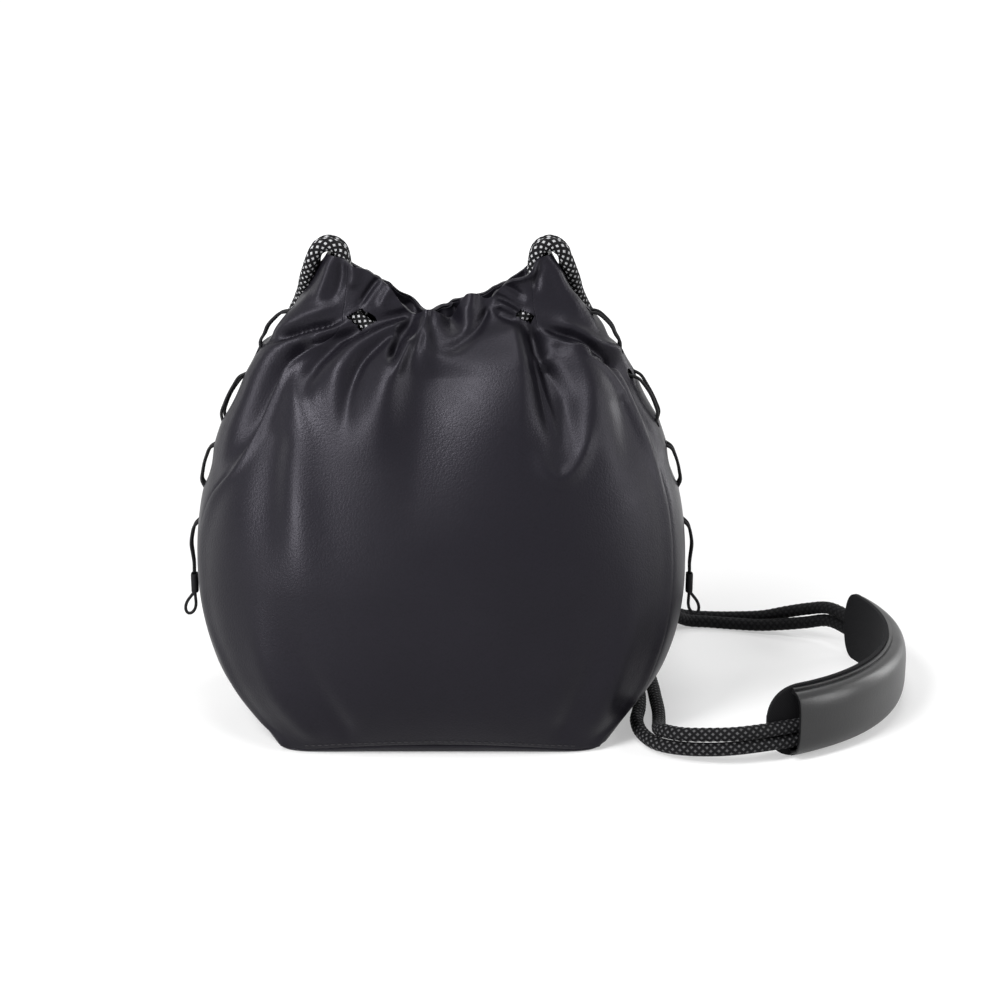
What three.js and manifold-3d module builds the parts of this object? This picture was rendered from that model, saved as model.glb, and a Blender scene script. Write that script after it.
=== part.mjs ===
// Soft leather drawstring pouch with side laces, a doubled rope strap and a shoulder pad.
// Millimetres, +Z up, the front faces -Y, origin on the floor under the middle of the bag.
import * as THREE from 'three';
import { mergeVertices } from 'three/addons/utils/BufferGeometryUtils.js';
import Module from 'manifold-3d';

// Outline of the bag: floor, belly, shoulder, neck and ears
const baseWidth = 164;
const baseDepth = 120;
const bellyWidth = 249;
const bellyDepth = 152;
const bellyHeight = 84;
const shoulderWidth = 181;
const shoulderDepth = 74;
const shoulderHeight = 189;
const neckWidth = 144;
const neckDepth = 28;
const neckHeight = 214;
const earSpan = 110;
const mouthDepth = 23;
const earHeight = 241;
const hemHeight = 216;
const hemFlatHalf = 16;

// How fast the outline swells and draws in
const baseWidthSwell = 2.45;
const baseDepthSwell = 3.7;
const shoulderWidthFall = 2.05;
const shoulderDepthFall = 1.8;
const neckWidthSlope = -1.15;
const earWidthSlope = -0.45;
const neckDepthSlope = -0.45;

// Squareness of the sections: boxy on the floor, nearly elliptic at the belly, flat at the mouth
const bellySquareness = 2.2;
const floorSquareness = 6;
const floorSquarenessReach = 5;
const levelFloorReach = 20;
const lowerSquareness = 1.8;
const lowerSquarenessReach = 32;
const mouthSquareness = 1.8;
const mouthSquarenessStart = 196;
const mouthSquarenessReach = 24;

// Leather, lining and what lies between them
const leatherThickness = 1.8;
const liningThickness = 1;
const facingThickness = 1.2;
const pieceGap = 0.3;
const panelRows = 24;
const panelColumns = 15;
const gussetColumns = 12;
const sectionPoints = 48;
const liningSlack = 3.6;
const liningTuck = 9;
const liningDrop = 1;
const liningEdgeGap = 0.7;
const boardThickness = 1.6;
const boardMargin = 4;
const baseCornerFill = 1.1;

// Seams between the front or back panel and the gussets
const seamShare = 0.905;
const earSeamHalf = 47;
const earSeamTopHalf = 44;
const seamTurnStart = 196;
const seamTurnEnd = 213;
const cornerSeamHeight = 2;
const frontSeamHeight = 6;

// Rope channel under the hem, and the slots in the seams where the rope shows
const ropeDiameter = 7;
const ropeClearance = 0.55;
const ropeSides = 8;
const strapSteps = 80;
const mouthRopeSteps = 28;
const channelHeight = 203;
const channelRise = 8;
const channelHalf = 38;
const channelCurve = 2.2;
const channelStitchHalf = 8;
const channelFlatHalf = 2.6;
const facingHalf = 36;
const facingBelow = 10;
const slotLength = 19;
const slotWidth = 8.5;
const slotTilt = 0.47;
const slotCentreX = 39.5;

// Side laces: heights where the lace goes in and out of the gusset, and the sleeve and pull loop
const laceDiameter = 1.6;
const laceSides = 8;
const laceRowHalf = 3;
const laceArcs = [[76.5, 104], [121, 144], [155, 180.5], [192, 212]];
const laceStandOff = 3.8;
const laceClearance = 0.9;
const laceSlotWidth = 4.4;
const laceSlotLength = 7.8;
const laceCutDepth = 21.6;
const laceLegHalf = 1.05;
const sleeveTop = 74.2;
const sleeveLength = 10;
const sleeveWall = 0.6;
const sleeveStandOff = 1.2;
const pullPivotRise = 0.3;
const loopLength = 12.5;
const loopHalfWidth = 2.6;
const loopTilt = 0.32;

// Shoulder pad: an arc standing on its edge, with a tunnel for the two ropes
const padCentreX = 132;
const padCentreY = 31;
const padLiningRadius = 99.5;
const padLiningThickness = 2;
const padCoverThickness = 1.8;
const padTunnelDepth = 8.2;
const padTunnelHalf = 14.8;
const padTunnelSquareness = 7;
const padCoverHeight = 35.5;
const padLiningHeight = 37.5;
const padNearAngle = -66.5;
const padFarAngle = 24.5;
const padNearTongue = 7;
const padFarTongue = 3.6;
const padTongueRound = 2.4;
const padRopeNearHeight = 9.2;
const padRopeFarHeight = 12.8;
const padRopeRise = 7.5;

const black = { color: 0x18171a, roughness: 0.85, metalness: 0 };
const leather = { color: 0x2b282d, roughness: 0.5, metalness: 0 };

const { Vector3 } = THREE;
const radians = Math.PI / 180;
const clamp = (value, low, high) => Math.min(high, Math.max(low, value));
const mix = (from, to, share) => from + (to - from) * share;
const smooth = (share) => {
  const t = clamp(share, 0, 1);
  return t * t * (3 - 2 * t);
};

// Cubic from value v0 with slope m0 at z0 to value v1 with slope m1 at z1
function hermite(z, z0, v0, m0, z1, v1, m1) {
  const h = z1 - z0;
  const t = (z - z0) / h;
  const keep = (2 * t ** 3 - 3 * t ** 2 + 1) * v0 + (3 * t ** 2 - 2 * t ** 3) * v1;
  const turn = (t ** 3 - 2 * t ** 2 + t) * h * m0 + (t ** 3 - t ** 2) * h * m1;
  return keep + turn;
}

// Half extent of the bag at height z: floor to belly, belly to shoulder, neck, then ears
function halfExtent(z, at) {
  if (z < bellyHeight) {
    const rise = 1 - (1 - Math.max(z, 0) / bellyHeight) ** at.swell;
    return mix(at.base, at.belly, rise) / 2;
  }
  const span = shoulderHeight - bellyHeight;
  if (z < shoulderHeight) {
    return mix(at.belly, at.shoulder, ((z - bellyHeight) / span) ** at.fall) / 2;
  }
  const shoulderSlope = (at.shoulder - at.belly) / 2 * at.fall / span;
  if (z < neckHeight) {
    return hermite(z, shoulderHeight, at.shoulder / 2, shoulderSlope, neckHeight, at.neck / 2, at.neckSlope);
  }
  const top = Math.min(z, earHeight);
  return hermite(top, neckHeight, at.neck / 2, at.neckSlope, earHeight, at.ear / 2, at.earSlope);
}

const widths = {
  base: baseWidth, belly: bellyWidth, shoulder: shoulderWidth, neck: neckWidth, ear: earSpan,
  swell: baseWidthSwell, fall: shoulderWidthFall, neckSlope: neckWidthSlope, earSlope: earWidthSlope,
};
const depths = {
  base: baseDepth, belly: bellyDepth, shoulder: shoulderDepth, neck: neckDepth, ear: mouthDepth,
  swell: baseDepthSwell, fall: shoulderDepthFall, neckSlope: neckDepthSlope, earSlope: 0,
};
const halfWidth = (z) => halfExtent(z, widths);
const halfDepth = (z) => halfExtent(z, depths);

function squareness(z) {
  const floor = floorSquareness * Math.exp(-z / floorSquarenessReach);
  const lower = lowerSquareness * Math.exp(-z / lowerSquarenessReach);
  const mouth = mouthSquareness * smooth((z - mouthSquarenessStart) / mouthSquarenessReach);
  return bellySquareness + floor + lower + mouth;
}

// Height of the hem above a place x: level in the middle, rising to the two ears
function hemAt(x) {
  const reach = earSpan / 2 - 1 - hemFlatHalf;
  return mix(hemHeight, earHeight, clamp((Math.abs(x) - hemFlatHalf) / reach, 0, 1));
}

// Height of the bottom seam above a place x: highest in the middle of the front and back
function bottomSeamAt(x) {
  const share = clamp(Math.abs(x) / (0.9 * seamShare * baseWidth / 2), 0, 1);
  return mix(frontSeamHeight, cornerSeamHeight, share ** 2);
}

// Half distance between the two front seams at height z
function seamHalf(z) {
  const side = seamShare * halfWidth(z);
  const ear = mix(earSeamHalf, earSeamTopHalf, (z - seamTurnEnd) / (earHeight - seamTurnEnd));
  return mix(side, ear, smooth((z - seamTurnStart) / (seamTurnEnd - seamTurnStart)));
}

// Half of the gap in the side seam at height z, measured along x so that it is even square to the seam
function seamGapHalf(z) {
  const step = 0.5;
  const slope = (seamHalf(z + step) - seamHalf(z - step)) / (2 * step);
  return pieceGap / 2 * Math.hypot(1, slope);
}

// Share of the height of a panel's row: rows lie closer together near the floor and near the hem
function rowShare(row) {
  const even = row / (panelRows - 1);
  return even - 0.5 * Math.sin(2 * Math.PI * even) / (2 * Math.PI);
}

// Outward direction of the bag's surface at a point on it
function outward(point) {
  const side = (v, half, n) => Math.sign(v) * n * Math.abs(v) ** (n - 1) / half ** n;
  const level = (z) => {
    const n = squareness(z);
    return (Math.abs(point.x) / halfWidth(z)) ** n + (Math.abs(point.y) / halfDepth(z)) ** n;
  };
  const step = 0.05;
  const low = clamp(point.z - step, 0, earHeight - 2 * step);
  const n = squareness(point.z);
  const gradient = new Vector3(
    side(point.x, halfWidth(point.z), n),
    side(point.y, halfDepth(point.z), n),
    smooth(point.z / levelFloorReach) * (level(low + 2 * step) - level(low)) / (2 * step),
  );
  return gradient.normalize();
}

function raised(point, distance) {
  return point.clone().addScaledVector(outward(point), distance);
}

// Point of the outer surface over x on the front (side -1) or back (side 1)
function facePoint(x, z, side) {
  const n = squareness(z);
  const share = clamp(Math.abs(x) / halfWidth(z), 0, 1);
  return new Vector3(x, side * halfDepth(z) * (1 - share ** n) ** (1 / n), z);
}

// Point of the outer surface beside y on the left (side -1) or right (side 1)
function flankPoint(y, z, side) {
  const n = squareness(z);
  const share = clamp(Math.abs(y) / halfDepth(z), 0, 1);
  return new Vector3(side * halfWidth(z) * (1 - share ** n) ** (1 / n), y, z);
}

// Height where a rising line meets the hem
function meetHem(xAt) {
  let low = shoulderHeight;
  let high = earHeight;
  for (let i = 0; i < 40; i += 1) {
    const middle = (low + high) / 2;
    if (middle < hemAt(xAt(middle))) low = middle;
    else high = middle;
  }
  return low;
}

function bodyFrom(positions, faces) {
  const geometry = new THREE.BufferGeometry();
  const places = positions.flatMap((p) => p.toArray());
  geometry.setAttribute('position', new THREE.Float32BufferAttribute(places, 3));
  let volume = 0;
  for (const [a, b, c] of faces) {
    volume += positions[a].dot(positions[b].clone().cross(positions[c]));
  }
  geometry.setIndex(faces.flatMap(([a, b, c]) => (volume < 0 ? [a, c, b] : [a, b, c])));
  geometry.computeVertexNormals();
  return geometry;
}

// Closed body between two grids of points, with its four edges closed
function sheetBody(outer, inner) {
  const rows = outer.length;
  const columns = outer[0].length;
  const positions = [...outer.flat(), ...inner.flat()];
  const at = (layer, row, column) => layer * rows * columns + row * columns + column;
  const faces = [];
  const quad = (a, b, c, d) => faces.push([a, b, c], [a, c, d]);
  for (let row = 0; row + 1 < rows; row += 1) {
    for (let column = 0; column + 1 < columns; column += 1) {
      quad(at(0, row, column), at(0, row, column + 1), at(0, row + 1, column + 1), at(0, row + 1, column));
      quad(at(1, row, column), at(1, row + 1, column), at(1, row + 1, column + 1), at(1, row, column + 1));
    }
    quad(at(0, row, 0), at(0, row + 1, 0), at(1, row + 1, 0), at(1, row, 0));
    const last = columns - 1;
    quad(at(0, row, last), at(1, row, last), at(1, row + 1, last), at(0, row + 1, last));
  }
  for (let column = 0; column + 1 < columns; column += 1) {
    quad(at(0, 0, column), at(1, 0, column), at(1, 0, column + 1), at(0, 0, column + 1));
    const last = rows - 1;
    quad(at(0, last, column), at(0, last, column + 1), at(1, last, column + 1), at(1, last, column));
  }
  return bodyFrom(positions, faces);
}

// Closed body through a row of rings, the first and the last closed to a point
function ringBody(first, rings, last) {
  const count = rings[0].length;
  const positions = [first, ...rings.flat(), last];
  const at = (ring, i) => 1 + ring * count + (i % count);
  const end = positions.length - 1;
  const faces = [];
  for (let i = 0; i < count; i += 1) {
    faces.push([0, at(0, i + 1), at(0, i)]);
    faces.push([end, at(rings.length - 1, i), at(rings.length - 1, i + 1)]);
    for (let ring = 0; ring + 1 < rings.length; ring += 1) {
      faces.push([at(ring, i), at(ring, i + 1), at(ring + 1, i + 1)]);
      faces.push([at(ring, i), at(ring + 1, i + 1), at(ring + 1, i)]);
    }
  }
  return bodyFrom(positions, faces);
}

const wasm = await Module();
wasm.setup();

function toSolid(geometry) {
  const bare = geometry.clone();
  bare.deleteAttribute('normal');
  bare.deleteAttribute('uv');
  const merged = mergeVertices(bare, 1e-4);
  return new wasm.Manifold(new wasm.Mesh({
    numProp: 3,
    vertProperties: new Float32Array(merged.attributes.position.array),
    triVerts: new Uint32Array(merged.index.array),
  }));
}

function cut(geometry, cutters) {
  let solid = toSolid(geometry);
  for (const cutter of cutters) solid = solid.subtract(toSolid(cutter));
  const mesh = solid.getMesh();
  const result = new THREE.BufferGeometry();
  result.setAttribute('position', new THREE.BufferAttribute(new Float32Array(mesh.vertProperties), 3));
  result.setIndex(new THREE.BufferAttribute(new Uint32Array(mesh.triVerts), 1));
  result.computeVertexNormals();
  return result;
}

function stadium(length, width) {
  const shape = new THREE.Shape();
  const straight = (length - width) / 2;
  shape.absarc(straight, 0, width / 2, -Math.PI / 2, Math.PI / 2, false);
  shape.absarc(-straight, 0, width / 2, Math.PI / 2, 1.5 * Math.PI, false);
  shape.closePath();
  return shape;
}

// Evenly spaced points along a row of points, its first and last kept
function spread(points, count) {
  const path = new THREE.CurvePath();
  for (let i = 0; i + 1 < points.length; i += 1) {
    path.add(new THREE.LineCurve3(points[i], points[i + 1]));
  }
  return path.getSpacedPoints(count - 1);
}

// A leather panel between the two seams of the front (side -1) or back (side 1)
function facePanelGrid(side, distance) {
  const grid = [];
  for (let row = 0; row < panelRows; row += 1) {
    const line = [];
    for (let column = 0; column < panelColumns; column += 1) {
      const share = 2 * column / (panelColumns - 1) - 1;
      const xAt = (z) => share * (seamHalf(z) - seamGapHalf(z));
      const bottom = bottomSeamAt(xAt(0)) + pieceGap / 2;
      const z = mix(bottom, meetHem(xAt), rowShare(row));
      line.push(raised(facePoint(xAt(z), z, side), -distance));
    }
    grid.push(line);
  }
  return grid;
}

// Cutters for the two slots of the front (side -1) or back (side 1), where the rope shows
function ropeSlots(side) {
  const depth = bellyDepth / 2;
  const cutting = { depth, bevelEnabled: false, curveSegments: 4 };
  return [-1, 1].map((end) => {
    const slot = new THREE.ExtrudeGeometry(stadium(slotLength, slotWidth), cutting);
    slot.rotateZ(end * slotTilt);
    slot.rotateX(Math.PI / 2);
    const start = side < 0 ? -1 : depth + 1;
    slot.translate(end * slotCentreX, start, channelLine(slotCentreX));
    return slot;
  });
}

function makeFacePanel(side) {
  const outer = facePanelGrid(side, 0);
  const inner = facePanelGrid(side, leatherThickness);
  return cut(sheetBody(outer, inner), ropeSlots(side));
}

// A gusset from the front seam round the flank to the back seam, left (-1) or right (1)
function gussetGrid(side, distance) {
  const grid = [];
  for (let row = 0; row < panelRows; row += 1) {
    const dense = 48;
    const line = [];
    for (let i = 0; i <= dense; i += 1) {
      const turn = 2 * i / dense - 1;
      const angleAt = (z) => {
        const seam = (seamHalf(z) + seamGapHalf(z)) / halfWidth(z);
        return Math.abs(turn) * Math.acos(seam ** (squareness(z) / 2));
      };
      const xAt = (z) => halfWidth(z) * Math.cos(angleAt(z)) ** (2 / squareness(z));
      const z = mix(cornerSeamHeight + pieceGap / 2, meetHem(xAt), rowShare(row));
      const y = Math.sign(turn) * halfDepth(z) * Math.sin(angleAt(z)) ** (2 / squareness(z));
      line.push(new Vector3(side * xAt(z), y, z));
    }
    grid.push(spread(line, gussetColumns).map((p) => raised(flankPoint(p.y, p.z, side), -distance)));
  }
  return grid;
}

// Heights of the lace slots in a gusset, from the lowest up
const laceSlotHeights = laceArcs.flat().slice(1);

function laceSlots(side) {
  const depth = laceCutDepth;
  const cutting = { depth, bevelEnabled: false, curveSegments: 2 };
  return laceSlotHeights.flatMap((z) => [-laceRowHalf, laceRowHalf].map((y) => {
    const slot = new THREE.ExtrudeGeometry(stadium(laceSlotLength, laceSlotWidth), cutting);
    slot.rotateZ(Math.PI / 2);
    slot.rotateX(Math.PI / 2);
    slot.rotateZ(Math.PI / 2);
    const wall = flankPoint(y, z, side);
    slot.translate(wall.x - depth / 2, y, z);
    return slot;
  }));
}

function makeGusset(side) {
  const outer = gussetGrid(side, 0);
  const inner = gussetGrid(side, leatherThickness);
  return cut(sheetBody(outer, inner), [...ropeSlots(-1), ...ropeSlots(1), ...laceSlots(side)]);
}

// Ring round the bag at one height, moved inward by a distance
function sectionRing(zAt, inwardAt) {
  const ring = [];
  for (let i = 0; i < sectionPoints; i += 1) {
    const angle = 2 * Math.PI * (i + 0.5) / sectionPoints;
    let z = zAt(0);
    let point;
    for (let pass = 0; pass < 3; pass += 1) {
      const n = squareness(z);
      const c = Math.cos(angle);
      const s = Math.sin(angle);
      const x = Math.sign(c) * halfWidth(z) * Math.abs(c) ** (2 / n);
      const y = Math.sign(s) * halfDepth(z) * Math.abs(s) ** (2 / n);
      point = new Vector3(x, y, z);
      z = zAt(x);
    }
    point.z = z;
    ring.push(raised(point, -inwardAt(point)));
  }
  return ring;
}

const flatRing = (ring, z) => ring.map((p) => new Vector3(p.x, p.y, z));

// Base: a flat bottom with its rim turned up to the bottom seam
function makeBasePanel() {
  const rimTop = (x) => bottomSeamAt(x) - pieceGap / 2;
  const floorOuter = flatRing(sectionRing(() => 0, () => 0), 0);
  const rimOuter = sectionRing(rimTop, () => 0);
  const rimInner = sectionRing(rimTop, () => leatherThickness);
  const floorInner = flatRing(sectionRing(() => 0, () => leatherThickness + baseCornerFill), 0);
  const inner = flatRing(floorInner, Math.min(leatherThickness, cornerSeamHeight - pieceGap));
  return ringBody(new Vector3(), [floorOuter, rimOuter, rimInner, inner], new Vector3(0, 0, inner[0].z));
}

const boardBottom = Math.min(leatherThickness, cornerSeamHeight - pieceGap) + pieceGap;
const boardTop = boardBottom + boardThickness;

function makeBaseBoard() {
  const outline = flatRing(sectionRing(() => 0, () => leatherThickness + boardMargin), boardBottom);
  const top = flatRing(outline, boardTop);
  return ringBody(new Vector3(0, 0, boardBottom), [outline, top], new Vector3(0, 0, boardTop));
}

// Height of the middle of the rope channel, measured on the leather over it
function channelLine(x) {
  return channelHeight + channelRise * (Math.abs(x) / channelHalf) ** channelCurve;
}

const stitchedDepth = leatherThickness + pieceGap;
const channelDepth = leatherThickness + ropeDiameter + 2 * ropeClearance;
const liningTopAt = (x) => channelLine(Math.min(Math.abs(x), facingHalf)) - facingBelow - liningDrop;

// Lining: a thin inner bag, open at the top, sewn under the facings
function makeLining() {
  const levels = [0, 0.06, 0.16, 0.3, 0.48, 0.66, 0.8, 0.9, 0.95, 1];
  const floor = boardTop + pieceGap;
  const loose = leatherThickness + liningSlack;
  const inwardAt = (extra) => (point) => {
    const tuck = smooth((point.z - liningTopAt(point.x) + liningTuck) / liningTuck);
    return mix(loose, leatherThickness + liningEdgeGap, tuck) + extra;
  };
  const ringAt = (extra) => (level) => sectionRing(
    (x) => mix(floor, liningTopAt(x), level),
    inwardAt(extra),
  );
  const outer = levels.map(ringAt(0));
  const inner = levels.map(ringAt(liningThickness)).reverse();
  outer[0] = flatRing(outer[0], floor);
  inner[inner.length - 1] = flatRing(inner[inner.length - 1], floor + liningThickness);
  const bottom = new Vector3(0, 0, floor);
  return ringBody(bottom, [...outer, ...inner], new Vector3(0, 0, floor + liningThickness));
}

// Facing: the strip that makes the rope channel behind the front (-1) or back (1) hem
function makeFacing(side) {
  const columns = 13;
  const steps = [-facingBelow, -channelStitchHalf, -channelFlatHalf, channelFlatHalf, channelStitchHalf];
  const pointAt = (x, z, extra) => {
    const off = Math.abs(z - channelLine(x));
    const bulge = clamp((channelStitchHalf - off) / (channelStitchHalf - channelFlatHalf), 0, 1);
    return raised(facePoint(x, z, side), -mix(stitchedDepth, channelDepth, bulge) - extra);
  };
  const gridAt = (extra) => {
    const top = (x) => hemAt(x) - pieceGap;
    const between = (x) => mix(channelLine(x) + channelStitchHalf, top(x), 0.5);
    const lines = [...steps.map((step) => (x) => channelLine(x) + step), between, top];
    const across = Array.from({ length: columns }, (_, i) => facingHalf * (2 * i / (columns - 1) - 1));
    return lines.map((zAt) => across.map((x) => pointAt(x, zAt(x), extra)));
  };
  return sheetBody(gridAt(0), gridAt(facingThickness));
}

// Middle of the rope inside the channel, behind the leather
function channelPoint(x, side) {
  return raised(facePoint(x, channelLine(x), side), -(leatherThickness + ropeClearance + ropeDiameter / 2));
}

// Ropes over the right ear, measured from its tip: the front channel's rope takes the outer track
const earTip = (list) => list.map(([x, y, z]) => [x + earSpan / 2, y, z + earHeight]);
const earFrontTrack = earTip([
  [-9, -6.4, -25.5], [-8.4, -5.2, -19], [-8.1, -4.2, -12], [-8.1, -3.8, -6], [-5.9, -3.8, 1.9],
  [-0.4, -3.9, 4.4], [4.8, -3.6, 1.9], [7.4, -2.2, -3], [9.8, 1.5, -9.5], [11.5, 5, -14.5], [13, 9.6, -20.5],
]);
const earBackTrack = earTip([
  [-9, 6.4, -25.5], [-8.4, 5.2, -19], [-8.1, 4.2, -12], [-8.1, 3.8, -6], [-5.9, 3.8, 1.9],
  [-0.4, 3.9, 4.4], [4.6, 4.4, 1.9], [7, 5.6, -2.8], [7.3, 9, -9.5], [6.2, 12.4, -15], [6.5, 15.3, -21],
]);

// Ropes down the back of the bag, mirrored on the left
const outerBackTrack = [
  [70.5, 13.8, 214], [75, 17.4, 205], [79.5, 21.7, 195], [84.5, 29.4, 180], [88, 37.1, 165],
  [91, 43.5, 150], [94, 50.5, 130], [96, 55.6, 110],
];
const innerBackTrack = [
  [64, 17.8, 214], [68.5, 21.6, 205], [72.5, 26.3, 195], [77.5, 33.9, 180], [81, 41.2, 165],
  [84, 47.8, 150], [87, 54.9, 130], [89, 60.1, 110],
];

// Strap from behind the right ear down to the floor and on to the pad
const outerRightFloor = [
  [98.5, 60, 92], [104, 75, 68], [113, 92, 42], [122, 106, 22], [130, 115.5, 10], [138, 120.5, 4.6],
  [150, 120.8, 3.6], [165, 117.2, 3.7], [178.6, 112.3, 4.7], [191.8, 108.2, 6.7], [203.7, 103.4, 9.5],
];
const innerRightFloor = [
  [91.5, 66, 92], [97.5, 81, 68], [107, 99, 42], [117, 114, 22], [127, 124, 10], [137, 128.8, 4.6],
  [150, 128.8, 3.6], [165.6, 125, 4.8], [181.4, 118.9, 7.7], [194.2, 113.3, 12.3], [205.3, 106, 16.8],
];

// Strap from the pad's near end along the base, round behind it and up to the left ear
const lowerFloor = [
  [133, -72.3, 7.2], [118, -66.5, 5.5], [107.5, -57, 4.1], [101.5, -43, 3.6], [99.8, -27, 3.6],
  [102, -11, 3.6], [103.3, 8, 3.6], [102.5, 28, 3.6], [99, 48, 3.6], [91, 65, 3.6], [77, 76, 3.6],
  [58, 80.5, 3.6], [34, 82, 3.6], [8, 82, 3.6], [-18, 81.5, 3.6], [-44, 82, 3.6], [-66, 85, 3.7],
  [-84, 85.5, 6], [-94, 79, 13], [-96, 72, 25], [-95, 68, 42], [-93, 66, 66], [-91.5, 64.2, 90],
];
const upperFloor = [
  [133.3, -71.7, 14.7], [119.5, -66.8, 13], [111.8, -58, 11], [109.8, -46, 7], [111, -30, 4],
  [111.8, -14, 3.6], [111.5, 4, 3.6], [111.2, 20, 3.6], [109.5, 42, 3.6], [103, 64, 3.6],
  [91, 81, 3.6], [74, 89, 3.6], [52, 92, 3.6], [28, 92.5, 3.6], [2, 92, 3.6], [-24, 92, 3.6],
  [-48, 93, 3.6], [-70, 95.5, 3.6], [-88, 97, 4.6], [-100, 92.5, 11], [-104, 83, 24],
  [-103.5, 71, 42], [-101, 63, 66], [-99, 59.8, 90],
];

const vectors = (list) => list.map(([x, y, z]) => new Vector3(x, y, z));
const mirrored = (list) => list.map(([x, y, z]) => [-x, y, z]).reverse();

const padRopeRadius = padLiningRadius + padLiningThickness + padTunnelDepth / 2;

function padPoint(radius, degrees, z) {
  const angle = degrees * radians;
  return new Vector3(padCentreX + radius * Math.cos(angle), padCentreY + radius * Math.sin(angle), z);
}

// Rope through the pad: along the pad's arc and a little beyond both of its ends
function padRope(rise) {
  const angles = [38, 27, 16, 5, -6, -17, -28, -39, -50, -61, -72, -81];
  return angles.map((degrees) => {
    const share = (degrees - padNearAngle) / (padFarAngle - padNearAngle);
    return padPoint(padRopeRadius, degrees, mix(padRopeNearHeight, padRopeFarHeight, share) + rise);
  });
}

function channelPoints(side) {
  const shares = [-1, -0.8, -0.53, -0.26, 0, 0.26, 0.53, 0.8, 1];
  return shares.map((share) => channelPoint(share * channelHalf, side));
}

// The whole rope is one ring: through the front channel, twice through the pad, and back
const mouthStretch = (name, earTrack, side) => ({
  name,
  points: [...vectors(mirrored(earTrack)), ...channelPoints(side), ...vectors(earTrack)],
});
const strapStretch = (name, start, rightFloor, rise, floor, end) => ({
  name,
  points: [
    ...vectors(start), ...vectors(rightFloor), ...padRope(rise), ...vectors(floor), ...vectors(mirrored(end)),
  ],
});
const ropeStretches = [
  mouthStretch('front_mouth_rope', earFrontTrack, -1),
  strapStretch('strap_rope_a', outerBackTrack, outerRightFloor, 0, lowerFloor, innerBackTrack),
  mouthStretch('back_mouth_rope', earBackTrack, 1),
  strapStretch('strap_rope_b', innerBackTrack, innerRightFloor, padRopeRise, upperFloor, outerBackTrack),
];
const ropeCurve = new THREE.CatmullRomCurve3(ropeStretches.flatMap((s) => s.points), true, 'centripetal');

// A stretch of a longer curve, between two places counted in its points
class CurveStretch extends THREE.Curve {
  constructor(curve, from, to) {
    super();
    this.curve = curve;
    this.from = from;
    this.to = to;
  }

  getPoint(t, target = new Vector3()) {
    const count = this.curve.points.length;
    const place = mix(this.from, this.to, t) / count;
    return this.curve.getPoint(place - Math.floor(place), target);
  }
}

function tube(curve, diameter, sides, steps) {
  const corners = [];
  for (let i = 0; i < sides; i += 1) {
    const angle = 2 * Math.PI * i / sides;
    corners.push(new THREE.Vector2(Math.cos(angle), Math.sin(angle)).multiplyScalar(diameter / 2));
  }
  const along = { steps, extrudePath: curve, bevelEnabled: false };
  return new THREE.ExtrudeGeometry(new THREE.Shape(corners), along);
}

// Each stretch runs from half a step before its first point to half a step before the next one's
function makeRopes() {
  const trim = 0.02;
  let first = 0;
  return ropeStretches.map(({ name, points }) => {
    const stretch = new CurveStretch(ropeCurve, first - 0.5 + trim, first + points.length - 0.5 - trim);
    stretch.arcLengthDivisions = 1200;
    first += points.length;
    const free = name.startsWith('strap');
    const steps = free ? strapSteps : mouthRopeSteps;
    return { name, geometry: tube(stretch, ropeDiameter, ropeSides, steps) };
  });
}

// Middle of the sleeve that joins the ends of a side lace
const sleeveHalfX = laceDiameter / 2 + laceClearance / 2 + sleeveWall;
const sleeveHalfY = sleeveHalfX + laceLegHalf;
const sleeveX = halfWidth(sleeveTop) + sleeveStandOff + sleeveHalfX;

// A place on one flank, lifted off the leather
const lacePoint = (y, z, side, height) => raised(flankPoint(y, z, side), height);

// One half of a side lace, from the sleeve up its own row to the top slot; side of the bag and row sign
function laceHalf(side, row) {
  const radius = laceDiameter / 2;
  const inside = -(leatherThickness + laceClearance + radius);
  const pass = laceSlotLength / 2;
  const rowY = row * laceRowHalf;
  const points = [new Vector3(side * sleeveX, row * laceLegHalf, sleeveTop + 2 * pullPivotRise)];
  laceArcs.forEach(([low, high], index) => {
    const hangs = index === 0;
    if (!hangs) points.push(lacePoint(rowY, low, side, -leatherThickness / 2));
    for (const share of [0.14, 0.32, 0.5, 0.68, 0.86]) {
      const z = low + (high - low) * share;
      const y = hangs ? mix(row * laceLegHalf, rowY, smooth(share)) : rowY;
      const height = radius + laceClearance + laceStandOff * Math.sin(Math.PI * share);
      const free = hangs ? 1 - smooth(share / 0.5) : 0;
      points.push(lacePoint(y, z, side, mix(height, sleeveX - halfWidth(sleeveTop), free)));
    }
    points.push(lacePoint(rowY, high, side, -leatherThickness / 2));
    points.push(lacePoint(rowY, high + pass, side, inside));
    const next = laceArcs[index + 1];
    if (next) points.push(lacePoint(rowY, next[0] - pass, side, inside));
  });
  const top = laceArcs.at(-1)[1] + pass + laceDiameter;
  points.push(lacePoint(0.7 * rowY, top, side, inside));
  return points;
}

// A curve cut into steps at its own points, which lie closer together where the lace dips
class PointwiseCurve extends THREE.CatmullRomCurve3 {
  getUtoTmapping(share) {
    return share;
  }
}

function makeLace(side) {
  const points = [...laceHalf(side, 1), ...laceHalf(side, -1).reverse()];
  const curve = new PointwiseCurve(points, false, 'centripetal');
  return tube(curve, laceDiameter, laceSides, points.length - 1);
}

function makeSleeve(side) {
  const outline = stadium(2 * sleeveHalfY, 2 * sleeveHalfX);
  const bore = stadium(2 * (sleeveHalfY - sleeveWall), 2 * (sleeveHalfX - sleeveWall));
  outline.holes.push(new THREE.Path(bore.getPoints(5)));
  const rise = { depth: sleeveLength, bevelEnabled: false, curveSegments: 5 };
  const sleeve = new THREE.ExtrudeGeometry(outline, rise);
  sleeve.rotateZ(Math.PI / 2);
  sleeve.translate(side * sleeveX, 0, sleeveTop - sleeveLength);
  return sleeve;
}

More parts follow.
